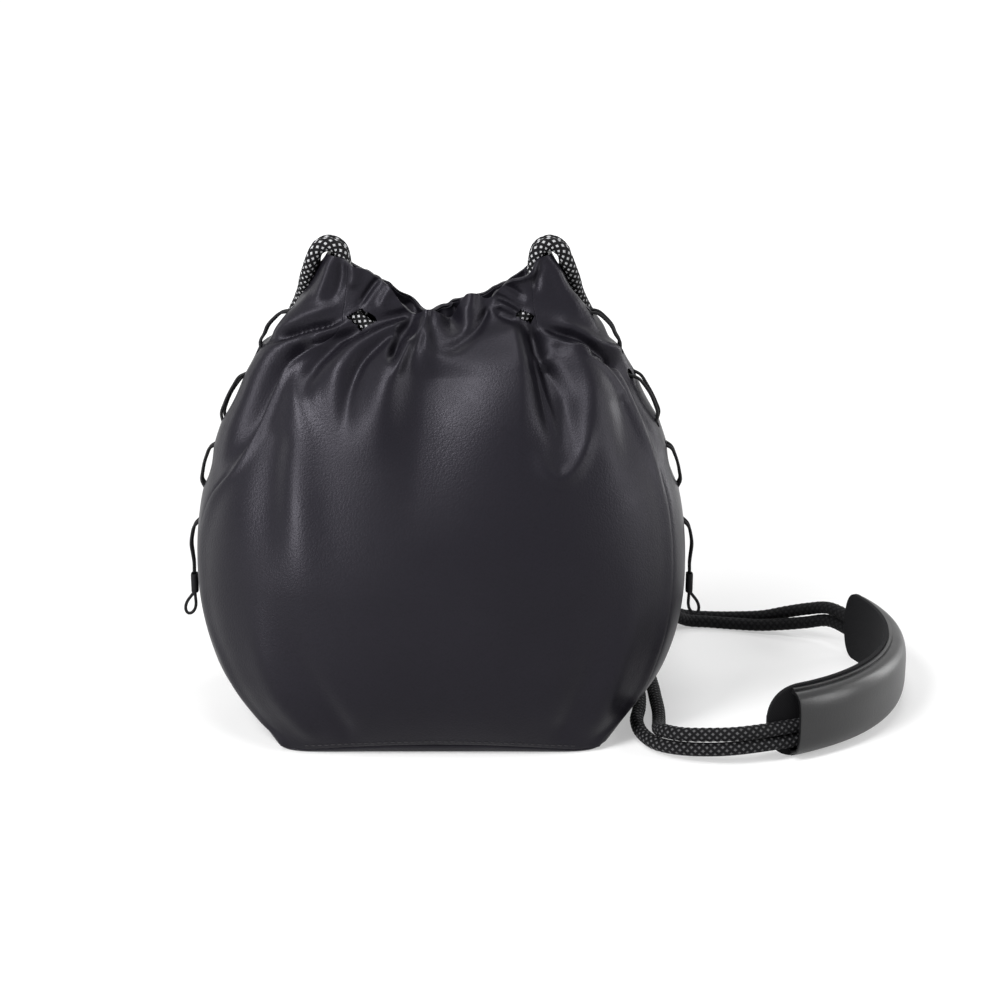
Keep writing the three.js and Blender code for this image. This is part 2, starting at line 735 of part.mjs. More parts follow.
// Pull loop: a drop of lace whose two legs go up into the sleeve, tilted away from the bag
function makePullLoop(side) {
  const legTop = 0.3 * sleeveLength;
  const half = [
    [0, 1, -legTop], [0, 1, -0.5], [0.42, 0.95, 0.22 * loopLength], [0.88, 0.6, 0.5 * loopLength],
    [0.95, 0.25, 0.74 * loopLength], [0.55, 0.08, 0.94 * loopLength],
  ];
  const place = ([across, leg, down], sign) => {
    const tilt = down > 0 ? loopTilt : 0;
    const lateral = sign * across * loopHalfWidth;
    return new Vector3(
      side * (sleeveX + down * Math.sin(tilt)) + side * lateral * Math.cos(tilt),
      sign * leg * laceLegHalf,
      sleeveTop - sleeveLength - down * Math.cos(tilt) + lateral * Math.sin(tilt),
    );
  };
  const end = place([0, 0, loopLength], 1);
  const points = [...half.map((p) => place(p, 1)), end, ...half.map((p) => place(p, -1)).reverse()];
  return tube(new PointwiseCurve(points, false, 'centripetal'), laceDiameter, laceSides, points.length - 1);
}

// Pad cover: leather arched over the tunnel between two flat flanges, on an arc about the pad's centre
function makePadCover() {
  const columns = 19;
  const middle = padLiningHeight / 2;
  const back = padLiningRadius + padLiningThickness + pieceGap;
  const flange = padCoverHeight / 2 - padTunnelHalf;
  const heights = [-1, -0.97, -0.9, -0.78, -0.6, -0.35, 0, 0.35, 0.6, 0.78, 0.9, 0.97, 1];
  const offsets = [-padTunnelHalf - flange, ...heights.map((h) => h * padTunnelHalf), padTunnelHalf + flange];
  const arch = (offset) => {
    const share = clamp(Math.abs(offset) / padTunnelHalf, 0, 1);
    return (padTunnelDepth - pieceGap) * Math.sqrt(Math.max(0, 1 - share ** padTunnelSquareness));
  };
  const gridAt = (outerSide) => offsets.map((offset) => {
    const line = [];
    const stretch = outerSide ? (padTunnelHalf + 0.6 * padCoverThickness) / padTunnelHalf : 1;
    const arched = clamp(offset * stretch, -padCoverHeight / 2, padCoverHeight / 2);
    const reach = Math.abs(offset) > padTunnelHalf ? offset : arched;
    const radius = back + arch(offset) + (outerSide ? padCoverThickness : 0);
    for (let column = 0; column < columns; column += 1) {
      const degrees = mix(padNearAngle, padFarAngle, column / (columns - 1));
      line.push(padPoint(radius, degrees, middle + reach));
    }
    return line;
  });
  return sheetBody(gridAt(true), gridAt(false));
}

// Pad lining: a strip with leaf-shaped ends that reach past the cover
function makePadLining() {
  const columns = 27;
  const rows = 5;
  const middle = padLiningHeight / 2;
  const centre = (padNearAngle + padFarAngle) / 2;
  const coverHalf = (padFarAngle - padNearAngle) / 2;
  const gridAt = (radius) => {
    const grid = [];
    for (let row = 0; row < rows; row += 1) {
      const line = [];
      for (let column = 0; column < columns; column += 1) {
        const share = Math.sin(Math.PI / 2 * (2 * column / (columns - 1) - 1));
        const tongue = share < 0 ? padNearTongue : padFarTongue;
        const offset = share * (coverHalf + tongue);
        const past = clamp((Math.abs(offset) - coverHalf + tongue / 2) / (1.5 * tongue), 0, 0.985);
        const half = padLiningHeight / 2 * (1 - past ** padTongueRound) ** (1 / padTongueRound);
        line.push(padPoint(radius, centre + offset, middle + half * (2 * row / (rows - 1) - 1)));
      }
      grid.push(line);
    }
    return grid;
  };
  return sheetBody(gridAt(padLiningRadius + padLiningThickness), gridAt(padLiningRadius));
}

const pouch = new THREE.Group();
pouch.name = 'drawstring_pouch';

function add(parent, name, geometry, finish) {
  const mesh = new THREE.Mesh(geometry, new THREE.MeshStandardMaterial(finish));
  mesh.name = name;
  parent.add(mesh);
}

add(pouch, 'front_panel', makeFacePanel(-1), leather);
add(pouch, 'back_panel', makeFacePanel(1), leather);
add(pouch, 'left_gusset', makeGusset(-1), leather);
add(pouch, 'right_gusset', makeGusset(1), leather);
add(pouch, 'base_panel', makeBasePanel(), leather);
add(pouch, 'base_board', makeBaseBoard(), { color: 0x3a3632, roughness: 0.9, metalness: 0 });
add(pouch, 'lining', makeLining(), { color: 0x1b1a1d, roughness: 0.95, metalness: 0 });
add(pouch, 'front_facing', makeFacing(-1), leather);
add(pouch, 'back_facing', makeFacing(1), leather);

for (const { name, geometry } of makeRopes()) add(pouch, name, geometry, black);

for (const [word, side] of [['left', -1], ['right', 1]]) {
  add(pouch, `${word}_lace`, makeLace(side), black);
  add(pouch, `${word}_lace_sleeve`, makeSleeve(side), black);
  add(pouch, `${word}_pull_loop`, makePullLoop(side), black);
}

const pad = new THREE.Group();
pad.name = 'shoulder_pad';
add(pad, 'pad_cover', makePadCover(), { color: 0x141315, roughness: 0.4, metalness: 0 });
add(pad, 'pad_lining', makePadLining(), { color: 0x121113, roughness: 0.8, metalness: 0 });
pouch.add(pad);

export default pouch;
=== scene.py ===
"""Soft drawstring pouch with side laces, a doubled rope strap and a shoulder pad.

Form sizes are millimetres inside the functions and become metres when a mesh is made.
The front of the bag faces -Y, +Z is up, and the origin is on the floor under the middle of the bag.
"""

import math

import bpy
import numpy as np
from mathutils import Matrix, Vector


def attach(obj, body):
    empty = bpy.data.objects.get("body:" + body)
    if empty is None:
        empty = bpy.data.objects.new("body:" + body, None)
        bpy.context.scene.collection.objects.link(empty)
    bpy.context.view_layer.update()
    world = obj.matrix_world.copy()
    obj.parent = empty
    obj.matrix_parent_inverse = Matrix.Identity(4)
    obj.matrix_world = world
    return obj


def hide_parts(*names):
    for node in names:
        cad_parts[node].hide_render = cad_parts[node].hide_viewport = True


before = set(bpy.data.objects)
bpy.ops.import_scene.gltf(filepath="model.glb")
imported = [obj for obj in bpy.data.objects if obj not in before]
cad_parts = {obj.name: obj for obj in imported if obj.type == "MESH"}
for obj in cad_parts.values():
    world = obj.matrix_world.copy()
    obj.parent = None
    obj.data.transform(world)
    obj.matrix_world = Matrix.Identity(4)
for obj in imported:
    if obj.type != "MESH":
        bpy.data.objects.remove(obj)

bl_info = {
    "name": "Drawstring pouch",
    "version": (1, 0, 0),
    "blender": (4, 5, 0),
    "location": "3D View > Sidebar > Pouch",
    "description": "Builds a soft drawstring pouch with a rope strap and a shoulder pad",
    "category": "Add Mesh",
}

MM = 0.001
PICTURE_SIDE = 1000
FRONT, BACK = -1, 1
LEFT, RIGHT = -1, 1

# Counts of points in the meshes
PANEL_ROWS, PANEL_COLUMNS, GUSSET_COLUMNS = 190, 190, 110
BASE_RING, LINING_RING, LINING_ROWS = 240, 200, 60
ROPE_SIDES, LACE_SIDES, LOOP_SIDES = 24, 12, 14
PILL_SIDES, PILL_STEPS = 8, 7
CORNER_STEPS = 5


def smooth(share):
    share = np.clip(share, 0, 1)
    return share * share * (3 - 2 * share)


def mix(start, end, share):
    return start + (end - start) * share


def length_setting(name, default, description):
    return bpy.props.FloatProperty(
        name=name, description=description, default=default, min=0, unit="LENGTH", subtype="DISTANCE",
        precision=4,
    )


def number_setting(name, default, description):
    return bpy.props.FloatProperty(name=name, description=description, default=default)


def colour_setting(name, default, description):
    return bpy.props.FloatVectorProperty(
        name=name, description=description, default=default, size=3, min=0, max=1, subtype="COLOR"
    )


class PouchForm(bpy.types.PropertyGroup):
    """Sizes of the bag's outline and of its leather."""

    base_width: length_setting("Base width", 0.164, "Width of the flat base")
    base_depth: length_setting("Base depth", 0.120, "Depth of the flat base")
    belly_width: length_setting("Belly width", 0.249, "Width at the fullest height")
    belly_depth: length_setting("Belly depth", 0.152, "Depth at the fullest height")
    belly_height: length_setting("Belly height", 0.084, "Height of the fullest section")
    shoulder_width: length_setting("Shoulder width", 0.181, "Width where the neck starts to draw in")
    shoulder_depth: length_setting("Shoulder depth", 0.074, "Depth where the neck starts to draw in")
    shoulder_height: length_setting("Shoulder height", 0.189, "Height where the neck starts to draw in")
    neck_width: length_setting("Neck width", 0.144, "Width at the rope channel")
    neck_depth: length_setting("Neck depth", 0.028, "Depth at the rope channel")
    neck_height: length_setting("Neck height", 0.214, "Height of the rope channel's ends")
    ear_span: length_setting("Ear span", 0.110, "Distance between the tips of the ears")
    mouth_depth: length_setting("Mouth depth", 0.023, "Depth between the two hems")
    ear_height: length_setting("Ear height", 0.241, "Height of the tips of the ears")
    leather: length_setting("Leather thickness", 0.0018, "Thickness of the leather")


class PouchRope(bpy.types.PropertyGroup):
    """Sizes of the rope, the laces and the shoulder pad."""

    rope_diameter: length_setting("Rope diameter", 0.007, "Thickness of the braided rope")
    strap_a_length: length_setting("First strand", 1.144, "Length of the strap's first strand")
    strap_b_length: length_setting("Second strand", 1.181, "Length of the strap's second strand")
    lace_diameter: length_setting("Lace diameter", 0.0016, "Thickness of the side laces")
    pad_radius: length_setting("Pad radius", 0.0995, "Inner radius of the curved pad")
    pad_height: length_setting("Pad height", 0.0375, "Height of the pad lining, standing on its edge")
    pad_cover_height: length_setting("Pad cover height", 0.0355, "Height of the pad's leather cover")
    pad_bulge: length_setting("Pad bulge", 0.0097, "How far the cover stands out over the ropes")


class PouchFinish(bpy.types.PropertyGroup):
    """Colours and surface finish."""

    leather: colour_setting("Leather", (0.0064, 0.0058, 0.0084), "Colour of the bag's leather")
    leather_roughness: number_setting("Leather roughness", 0.38, "How matt the bag's leather is")
    leather_sheen: colour_setting("Leather sheen", (0.91, 0.88, 1.0), "Tint of what the leather mirrors")
    pad_leather: colour_setting("Pad leather", (0.006, 0.006, 0.0065), "Colour of the pad's leather")
    pad_roughness: number_setting("Pad roughness", 0.36, "How matt the pad's leather is")
    lining: colour_setting("Lining", (0.012, 0.012, 0.013), "Colour of the woven lining")
    pad_lining: colour_setting("Pad lining", (0.008, 0.008, 0.009), "Colour of the pad's soft lining")
    rope: colour_setting("Rope", (0.008, 0.008, 0.009), "Colour of the rope's dark yarn")
    fleck: colour_setting("Fleck", (0.44, 0.44, 0.45), "Colour of the rope's light yarn")
    lace: colour_setting("Lace", (0.006, 0.006, 0.007), "Colour of the laces and the pull loops")
    thread: colour_setting("Thread", (0.03, 0.029, 0.032), "Colour of the sewing thread")
    board: colour_setting("Board", (0.045, 0.04, 0.035), "Colour of the board in the base")


class PouchView(bpy.types.PropertyGroup):
    """Camera and light."""

    camera_x: length_setting("Camera right", 0.02986, "How far the camera is to the right of the bag")
    camera_back: length_setting("Camera distance", 1.050, "How far the camera is in front of the bag")
    camera_height: length_setting("Camera height", 0.430, "Height of the camera above the floor")
    camera_pitch: number_setting("Camera pitch", 16.78, "How far the camera looks down, in degrees")
    focal_share: number_setting("Focal share", 2.154, "Focal length as a share of the picture's side")
    surround: number_setting("Surround", 0.12, "Strength of the light from all round")
    key: number_setting("Key light", 14.0, "Power of the large lamp in front, in watts")


SETTINGS = {
    "pouch_form": PouchForm, "pouch_rope": PouchRope, "pouch_finish": PouchFinish, "pouch_view": PouchView,
}


# Outline of the bag, in millimetres: the same swelling sections as the solid part


def cubic(t, start, leaving, end, arriving):
    """Cubic over t from 0 to 1, between two values and with the slopes that it leaves and arrives with."""
    first = (2 * t**3 - 3 * t**2 + 1) * start + (t**3 - 2 * t**2 + t) * leaving
    return first + (3 * t**2 - 2 * t**3) * end + (t**3 - t**2) * arriving


def hermite(z, z0, v0, m0, z1, v1, m1):
    """Cubic from value v0 with slope m0 at z0 to value v1 with slope m1 at z1."""
    h = z1 - z0
    return cubic((z - z0) / h, v0, h * m0, v1, h * m1)


class Outline:
    """Half width, half depth and squareness of the bag by height, and its seams and hem."""

    def __init__(self, form):
        self.belly_height = form.belly_height / MM
        self.shoulder_height = form.shoulder_height / MM
        self.neck_height = form.neck_height / MM
        self.ear_height = form.ear_height / MM
        self.leather = form.leather / MM
        self.widths = {
            "base": form.base_width / MM, "belly": form.belly_width / MM,
            "shoulder": form.shoulder_width / MM, "neck": form.neck_width / MM, "ear": form.ear_span / MM,
            "swell": 2.45, "fall": 2.05, "neck_slope": -1.15, "ear_slope": -0.45,
        }
        self.depths = {
            "base": form.base_depth / MM, "belly": form.belly_depth / MM,
            "shoulder": form.shoulder_depth / MM, "neck": form.neck_depth / MM, "ear": form.mouth_depth / MM,
            "swell": 3.7, "fall": 1.8, "neck_slope": -0.45, "ear_slope": 0,
        }

    def half_extent(self, z, at):
        span = self.shoulder_height - self.belly_height
        low = np.clip(z, 0, self.belly_height) / self.belly_height
        swelling = mix(at["base"], at["belly"], 1 - (1 - low) ** at["swell"]) / 2
        middle = np.clip((z - self.belly_height) / span, 0, 1)
        falling = mix(at["belly"], at["shoulder"], middle ** at["fall"]) / 2
        slope = (at["shoulder"] - at["belly"]) / 2 * at["fall"] / span
        shoulder_end = (self.shoulder_height, at["shoulder"] / 2, slope)
        neck_end = (self.neck_height, at["neck"] / 2, at["neck_slope"])
        ear_end = (self.ear_height, at["ear"] / 2, at["ear_slope"])
        neck = hermite(z, *shoulder_end, *neck_end)
        ear = hermite(np.minimum(z, self.ear_height), *neck_end, *ear_end)
        below = [z < self.belly_height, z < self.shoulder_height, z < self.neck_height]
        return np.select(below, [swelling, falling, neck], ear)

    def half_width(self, z):
        return self.half_extent(z, self.widths)

    def half_depth(self, z):
        return self.half_extent(z, self.depths)

    def squareness(self, z):
        floor = 6 * np.exp(-z / 5)
        lower = 1.8 * np.exp(-z / 32)
        mouth = 1.8 * smooth((z - 196) / 24)
        return 2.2 + floor + lower + mouth

    def hem(self, x, side):
        """Height of the gathered hem over x: a low wavy middle between the two ears."""
        return read_along(FRONT_HEM if side == FRONT else BACK_HEM, x)

    def bottom_seam(self, x):
        share = np.clip(np.abs(x) / (0.9 * 0.905 * self.widths["base"] / 2), 0, 1)
        return mix(6, 2, share**2)

    def seam_half(self, z, face, side):
        """Half distance of a seam from the middle of the front or back face, on the left or the right."""
        table = LEFT_SEAM if side * face == FRONT * LEFT else RIGHT_SEAM
        return np.minimum(read_along(table, z), 0.975 * self.half_width(z))

    def channel(self, x):
        """Height of the middle of the rope channel over x."""
        return 203 + 8 * (np.abs(x) / 38) ** 2.2

    def face(self, x, z, side):
        """Points of the plain surface over x on the front or the back."""
        n = self.squareness(z)
        share = np.clip(np.abs(x) / self.half_width(z), 0, 1)
        return np.stack([x, side * self.half_depth(z) * (1 - share**n) ** (1 / n), z], -1)

    def flank(self, y, z, side):
        """Points of the plain surface beside y on the left or the right."""
        n = self.squareness(z)
        share = np.clip(np.abs(y) / self.half_depth(z), 0, 1)
        return np.stack([side * self.half_width(z) * (1 - share**n) ** (1 / n), y, z], -1)

    def level(self, x, y, z):
        n = self.squareness(z)
        return (np.abs(x) / self.half_width(z)) ** n + (np.abs(y) / self.half_depth(z)) ** n

    def outward(self, points):
        """Unit directions square to the plain surface: the gradient of the section's level."""
        x, y, z = points[..., 0], points[..., 1], points[..., 2]
        n = self.squareness(z)
        a, b = self.half_width(z), self.half_depth(z)
        low = np.clip(z - 0.05, 0, self.ear_height - 0.1)
        rise = (self.level(x, y, low + 0.1) - self.level(x, y, low)) / 0.1
        gradient = np.stack(
            [
                np.sign(x) * n * np.abs(x) ** (n - 1) / a**n,
                np.sign(y) * n * np.abs(y) ** (n - 1) / b**n,
                smooth(z / 20) * rise,
            ],
            -1,
        )
        return gradient / np.linalg.norm(gradient, axis=-1, keepdims=True)


def through(points, steps, closed=False):
    """Smooth line through points: a centripetal Catmull-Rom curve with so many steps between two points."""
    if closed:
        around = np.concatenate([points[-1:], points, points[:2]])
    else:
        around = np.concatenate([2 * points[:1] - points[1:2], points, 2 * points[-1:] - points[-2:-1]])
    p0, p1, p2, p3 = around[:-3], around[1:-2], around[2:-1], around[3:]
    d0, d1, d2 = (np.linalg.norm(b - a, axis=1)[:, None] ** 0.5 for a, b in ((p0, p1), (p1, p2), (p2, p3)))
    m1 = ((p1 - p0) / d0 - (p2 - p0) / (d0 + d1) + (p2 - p1) / d1) * d1
    m2 = ((p2 - p1) / d1 - (p3 - p1) / (d1 + d2) + (p3 - p2) / d2) * d1
    t = (np.arange(steps) / steps)[None, :, None]
    line = cubic(t, *(v[:, None, :] for v in (p1, m1, p2, m2))).reshape(-1, points.shape[1])
    return line if closed else np.concatenate([line, points[-1:]])


def read_along(table, place):
    """A value read from a table of places and values along a smooth line through them."""
    line = through(np.array(table, float), 8)
    return np.interp(place, line[:, 0], line[:, 1])


def arc_lengths(line):
    return np.concatenate([[0], np.cumsum(np.linalg.norm(np.diff(line, axis=0), axis=1))])


def evenly(line, step):
    """The same line with its points evenly spaced."""
    along = arc_lengths(line)
    count = max(2, int(round(along[-1] / step)) + 1)
    wanted = np.linspace(0, along[-1], count)
    return np.stack([np.interp(wanted, along, line[:, k]) for k in range(line.shape[1])], -1)


# Hem heights over x, in millimetres, read along the gathered edge from ear to ear
FRONT_HEM = [
    (-70, 241), (-56, 241), (-50, 240), (-46.5, 238.6), (-42.2, 236.2), (-34.9, 233.6), (-28.7, 229),
    (-23.8, 225.4), (-19.1, 218.5), (-14.2, 214.2), (-9.3, 213.6), (-4.4, 214.6), (0.5, 213.4), (5.4, 213),
    (9.6, 217), (13.6, 222.4), (18.2, 222.6), (22.6, 220.2), (26, 221), (30.4, 225.4), (35.5, 228.4),
    (41.5, 230), (46.5, 235.5), (50.5, 239.5), (56, 241), (70, 241),
]
BACK_HEM = [
    (-70, 241), (-56, 241), (-50, 239.6), (-44, 234), (-32.6, 227.4), (-25.2, 223.5), (-20.2, 218.6),
    (-15.3, 214.4), (-10.3, 212), (-5.2, 213), (0, 211.6), (4.8, 212.4), (8.8, 215), (14.8, 217),
    (22, 218.6), (30, 223.4), (38, 228), (45, 233), (51, 239), (56, 241), (70, 241),
]


# Folds of the gathered leather. Each is a height in millimetres, its reach to the left (or above) and to the
# right (or below), and the places it runs through, counted on the camera's picture from its upper left
# corner. Gathers start at the neck, grow wider and die out; creases keep their width. Their shapes are the
# spread and the shares of the length in which they fade in and out.
GATHER_SHAPE = (0.9, 0.12, 0.6)
CREASE_SHAPE = (0.0, 0.3, 0.3)
GATHERS = [
    # left half of the front
    (-4.6, 5, 5, [(424, 309), (400, 315), (376, 322), (350, 333), (327, 350), (311, 370), (305.5, 393),
        (308, 416), (318, 444)]),
    (2.8, 7, 8, [(420, 318), (396, 327), (370, 339), (348, 354), (335, 376), (332, 404), (336, 444)]),
    (-3.0, 4.5, 5, [(404, 328), (382, 342), (362, 360), (351, 384), (346, 412), (346, 450)]),
    (5.2, 15, 11, [(412, 332), (402, 350), (393, 372), (385, 398), (378, 430), (372, 474)]),
    (-4.2, 20, 38, [(430, 352), (428, 380), (425, 410), (422, 440), (420, 490), (420, 560)]),
    (2.6, 15, 16, [(306, 366), (301, 392), (297, 430), (296, 490), (298, 570), (304, 670)]),
    (-1.7, 14, 12, [(284, 424), (273, 464), (267, 520), (264, 590)]),
    # middle
    (3.4, 6, 6, [(431, 292), (431, 305), (428, 328), (424, 354), (421, 392)]),
    (-2.6, 3, 3.5, [(432, 290), (432, 308), (431, 326), (434, 340), (442, 349)]),
    (-7.0, 5.5, 5.5, [(447, 296), (450, 311), (455, 325), (463, 338)]),
    (-3.2, 3.5, 4, [(489, 304), (484, 316), (475, 330), (462, 341), (450, 348), (438, 349), (428, 340)]),
    (4.0, 7, 6, [(472, 284), (471, 300), (466, 318), (457, 333)]),
    (3.4, 30, 10, [(508, 316), (514, 350), (518, 390), (518, 430), (512, 492)]),
    # right half of the front
    (1.6, 12, 7, [(492, 300), (506, 316), (517, 336), (524, 357), (530, 383), (535, 412), (541, 446)]),
    (-7.5, 7, 8, [(524, 314), (532, 332), (539, 356), (546, 382), (551, 408), (556, 436), (558, 474)]),
    (-5.0, 7, 7, [(545, 354), (558, 376), (567, 400), (570, 430), (567, 468)]),
    (2.8, 2.4, 3, [(534, 346), (540, 368), (547, 394), (554, 420), (559, 450)]),
    (4.4, 9, 15, [(562, 340), (577, 356), (588, 378), (592, 404), (590, 436), (583, 476)]),
    (-1.8, 9, 11, [(618, 392), (626, 420), (630, 450), (630, 500)]),
    # lower corners
    (1.8, 9, 9, [(322, 744), (288, 708), (266, 668), (256, 620), (254, 560)]),
    (-1.8, 9, 9, [(356, 744), (332, 712), (306, 674), (286, 630), (280, 590)]),
    (1.8, 9, 9, [(584, 742), (604, 704), (622, 656), (636, 604), (642, 540)]),
    (-1.8, 9, 9, [(556, 742), (574, 706), (592, 664), (604, 610)]),
    # gussets beside the front seams
    (-8.5, 9, 3, [(318, 340), (296, 350), (279, 364), (266, 386), (255, 412), (241, 442), (223, 472),
        (204, 502)]),
    (1.8, 9, 8, [(292, 334), (266, 350), (245, 378), (230, 410), (217, 444), (207, 474), (200, 500)]),
    (-5.0, 2.6, 4.5, [(586, 343), (607, 353), (623, 368), (640, 396), (655, 432), (664, 470), (668, 510)]),
    (2.0, 3, 4, [(600, 340), (622, 354), (637, 376), (652, 406), (665, 440), (675, 480)]),
]
CREASES = [
    # left shoulder, over and beside the rope
    (-4.0, 4, 3, [(352, 314), (333, 322), (312, 327), (288, 334), (264, 346)]),
    (2.0, 9, 4, [(346, 304), (322, 311), (300, 318), (274, 330), (254, 344)]),
    (1.8, 5, 5, [(342, 330), (318, 335), (292, 343), (268, 357)]),
    (-2.2, 3, 5, [(372, 328), (350, 330), (326, 338), (306, 347)]),
    # pockets in the middle of the neck
    (-6.6, 5, 5, [(419, 308), (411, 320), (402, 334), (396, 350), (389, 370)]),
    (2.4, 4, 4, [(425, 312), (418, 334), (408, 354), (400, 370), (391, 386)]),
    (-2.6, 5, 5, [(492, 307), (500, 313), (508, 318), (520, 325)]),
    (2.0, 8, 8, [(534, 440), (538, 458), (547, 472), (560, 479), (574, 470), (584, 448), (589, 418)]),
    # right shoulder
    (-3.8, 4, 4, [(532, 318), (552, 328), (574, 336), (596, 350), (614, 361)]),
    (2.2, 6, 5, [(548, 318), (572, 328), (594, 340), (612, 352), (628, 368)]),
    (-5.4, 5, 4, [(584, 352), (598, 358), (611, 362), (622, 366)]),
    (1.6, 4, 4, [(540, 338), (564, 344), (590, 353), (612, 370)]),
    # ears
    (2.0, 6, 6, [(333, 250), (329, 268), (322, 288), (314, 306)]),
    (-1.5, 4, 5, [(337, 250), (341, 270), (337, 290), (326, 306)]),
    (1.8, 6, 6, [(350, 258), (354, 274), (350, 292)]),
    (-2.2, 3.5, 3.5, [(384, 274), (374, 284), (365, 296), (356, 309)]),
    (1.6, 5, 5, [(396, 284), (386, 296), (380, 310)]),
    (2.0, 7, 7, [(553, 250), (559, 272), (567, 292), (590, 314)]),
    (-2.4, 3.5, 4, [(484, 292), (502, 298), (519, 307), (534, 313)]),
    (2.0, 5, 4, [(492, 303), (506, 307), (520, 315)]),
    (-2.0, 4, 5, [(492, 280), (504, 286), (516, 292), (528, 302)]),
    (1.8, 6, 5, [(544, 262), (530, 274), (514, 278), (498, 276)]),
    (-1.8, 4, 5, [(544, 256), (538, 276), (536, 296)]),
]

# Half distance between the front seams by height, on the left and on the right, in millimetres
LEFT_SEAM = [
    (-5, 76), (6, 81), (12, 88), (25, 98.5), (40, 107.5), (60, 117), (84, 120.5), (105, 119), (125, 112),
    (142, 99), (160, 88), (178, 79.5), (189, 74), (196, 64.5), (201, 56.5), (206, 49.5), (213, 47),
    (241, 44), (250, 43),
]
RIGHT_SEAM = [
    (-5, 76), (6, 80.5), (12, 87), (25, 97), (40, 105), (60, 112), (88, 115), (118, 112.6), (144, 106),
    (169, 94.6), (180, 87.5), (187, 81), (193.5, 71), (199.6, 60), (206.6, 49.5), (213, 47), (241, 44),
    (250, 43),
]


class Camera:
    """Where the picture shows a point: the same pinhole as the scene's camera, in millimetres."""

    def __init__(self, view):
        self.place = np.array([view.camera_x, -view.camera_back, view.camera_height]) / MM
        pitch = math.radians(view.camera_pitch)
        self.ahead = np.array([0, math.cos(pitch), -math.sin(pitch)])
        self.up = np.array([0, math.sin(pitch), math.cos(pitch)])
        self.focal = view.focal_share * PICTURE_SIDE

    def place_of(self, points):
        """Picture places of points: the offset across and up, over that ahead, times the focal length."""
        offset = points - self.place
        ahead = offset @ self.ahead
        across = PICTURE_SIDE / 2 + self.focal * offset[..., 0] / ahead
        down = PICTURE_SIDE / 2 - self.focal * (offset @ self.up) / ahead
        return across, down


def fold_height(across, down, fold, spread, rise, die_out):
    """Height of one fold at places on the picture: a bell across its line.

    It grows wider along the line by the share spread, fades in over the first share of its length, rise, and
    out over the last, die_out.
    """
    height, before, after, places = fold
    line = through(np.array(places, float), 5)
    result = np.zeros_like(across)
    reach = 2.6 * max(before, after) * (1 + spread)
    low, high = line.min(0) - reach, line.max(0) + reach
    near = (across > low[0]) & (across < high[0]) & (down > low[1]) & (down < high[1])
    if not near.any():
        return result
    start, step = line[:-1], np.diff(line, axis=0)
    size = np.linalg.norm(step, axis=1)
    begun = arc_lengths(line)
    offset = np.stack([across[near], down[near]], -1)[:, None] - start
    share = np.clip((offset * step).sum(-1) / size**2, 0, 1)
    offset = offset - share[..., None] * step
    distance = np.linalg.norm(offset, axis=-1)
    best = distance.argmin(1)
    row = np.arange(len(best))
    ahead, nearest = step[best], offset[row, best]
    hand = ahead[:, 0] * nearest[:, 1] - ahead[:, 1] * nearest[:, 0]
    whole = line[-1] - line[0]
    right_is_beyond = -whole[1] > 0 if abs(whole[1]) > abs(whole[0]) else whole[0] > 0
    beyond = (hand > 0) == right_is_beyond
    along = (begun[best] + share[row, best] * size[best]) / begun[-1]
    width = np.where(beyond, after, before) * (1 + spread * along)
    fade = smooth(along / rise) * smooth((1 - along) / die_out)
    result[near] = height * np.exp(-((distance[row, best] / width) ** 2)) * fade
    return result


class Leather:
    """The bag's folded outer surface: the plain outline, raised by its folds along the outward direction."""

    def __init__(self, outline, camera):
        self.outline = outline
        self.camera = camera

    def seen_folds(self, points):
        across, down = self.camera.place_of(points)
        gathers = sum(fold_height(across, down, fold, *GATHER_SHAPE) for fold in GATHERS)
        return gathers + sum(fold_height(across, down, fold, *CREASE_SHAPE) for fold in CREASES)

    def folds(self, points):
        """Sum of all folds as the camera sees them; the back carries the same ones turned half round."""
        share = smooth((points[..., 1] + 6) / 12)
        front = self.seen_folds(points)
        if (share > 0).any():
            front = mix(front, self.seen_folds(points * np.array([-1, -1, 1])), share)
        return front

    def fullness(self, points):
        """How far the real bag swells beyond the plain outline, by height and side, in millimetres."""
        z = points[..., 2]
        right, left = read_along(RIGHT_FULLNESS, z), read_along(LEFT_FULLNESS, z)
        side = smooth(0.5 + 0.5 * points[..., 0] / self.outline.half_width(z))
        flank = (np.abs(points[..., 0]) / self.outline.half_width(z)) ** 2
        return mix(left, right, side) * flank

    def raised(self, points, height=0):
        """The folded surface over points of the plain one, at a height above it."""
        fold = self.folds(points)
        held = np.exp(-(((points[..., 2] - self.outline.channel(points[..., 0])) / 7) ** 2))
        held = held * (np.abs(points[..., 0]) < 60)
        soft = -3.2 * np.tanh(fold / -3.2)
        fold = mix(fold, np.where(fold < 0, soft * 0.75, fold), held)
        total = fold + self.fullness(points) + height
        return points + self.outline.outward(points) * total[..., None]


# How far the flanks swell beyond the plain outline at a height, in millimetres
LEFT_FULLNESS = [(0, 0), (6, 0.2), (14, 1.2), (30, 1.9), (45, 0.7), (60, 0), (84, 0), (120, 0), (240, 0)]
RIGHT_FULLNESS = [(0, 0.6), (6, 0.8), (14, 1.2), (30, 2), (45, 1.2), (60, 0.4), (84, 0), (120, 0), (240, 0)]


# Meshes from whole arrays of points


def grid_faces(rows, columns, around=False, along=False):
    """Quads between neighbouring points of a grid, closed around its columns or along its rows if asked."""
    i = np.arange(rows if along else rows - 1)[:, None]
    j = np.arange(columns if around else columns - 1)[None, :]
    below, beside = (i + 1) % rows * columns, (j + 1) % columns
    corners = np.stack([i * columns + j, i * columns + beside, below + beside, below + j + 0 * i], -1)
    return corners.reshape(-1, 4)


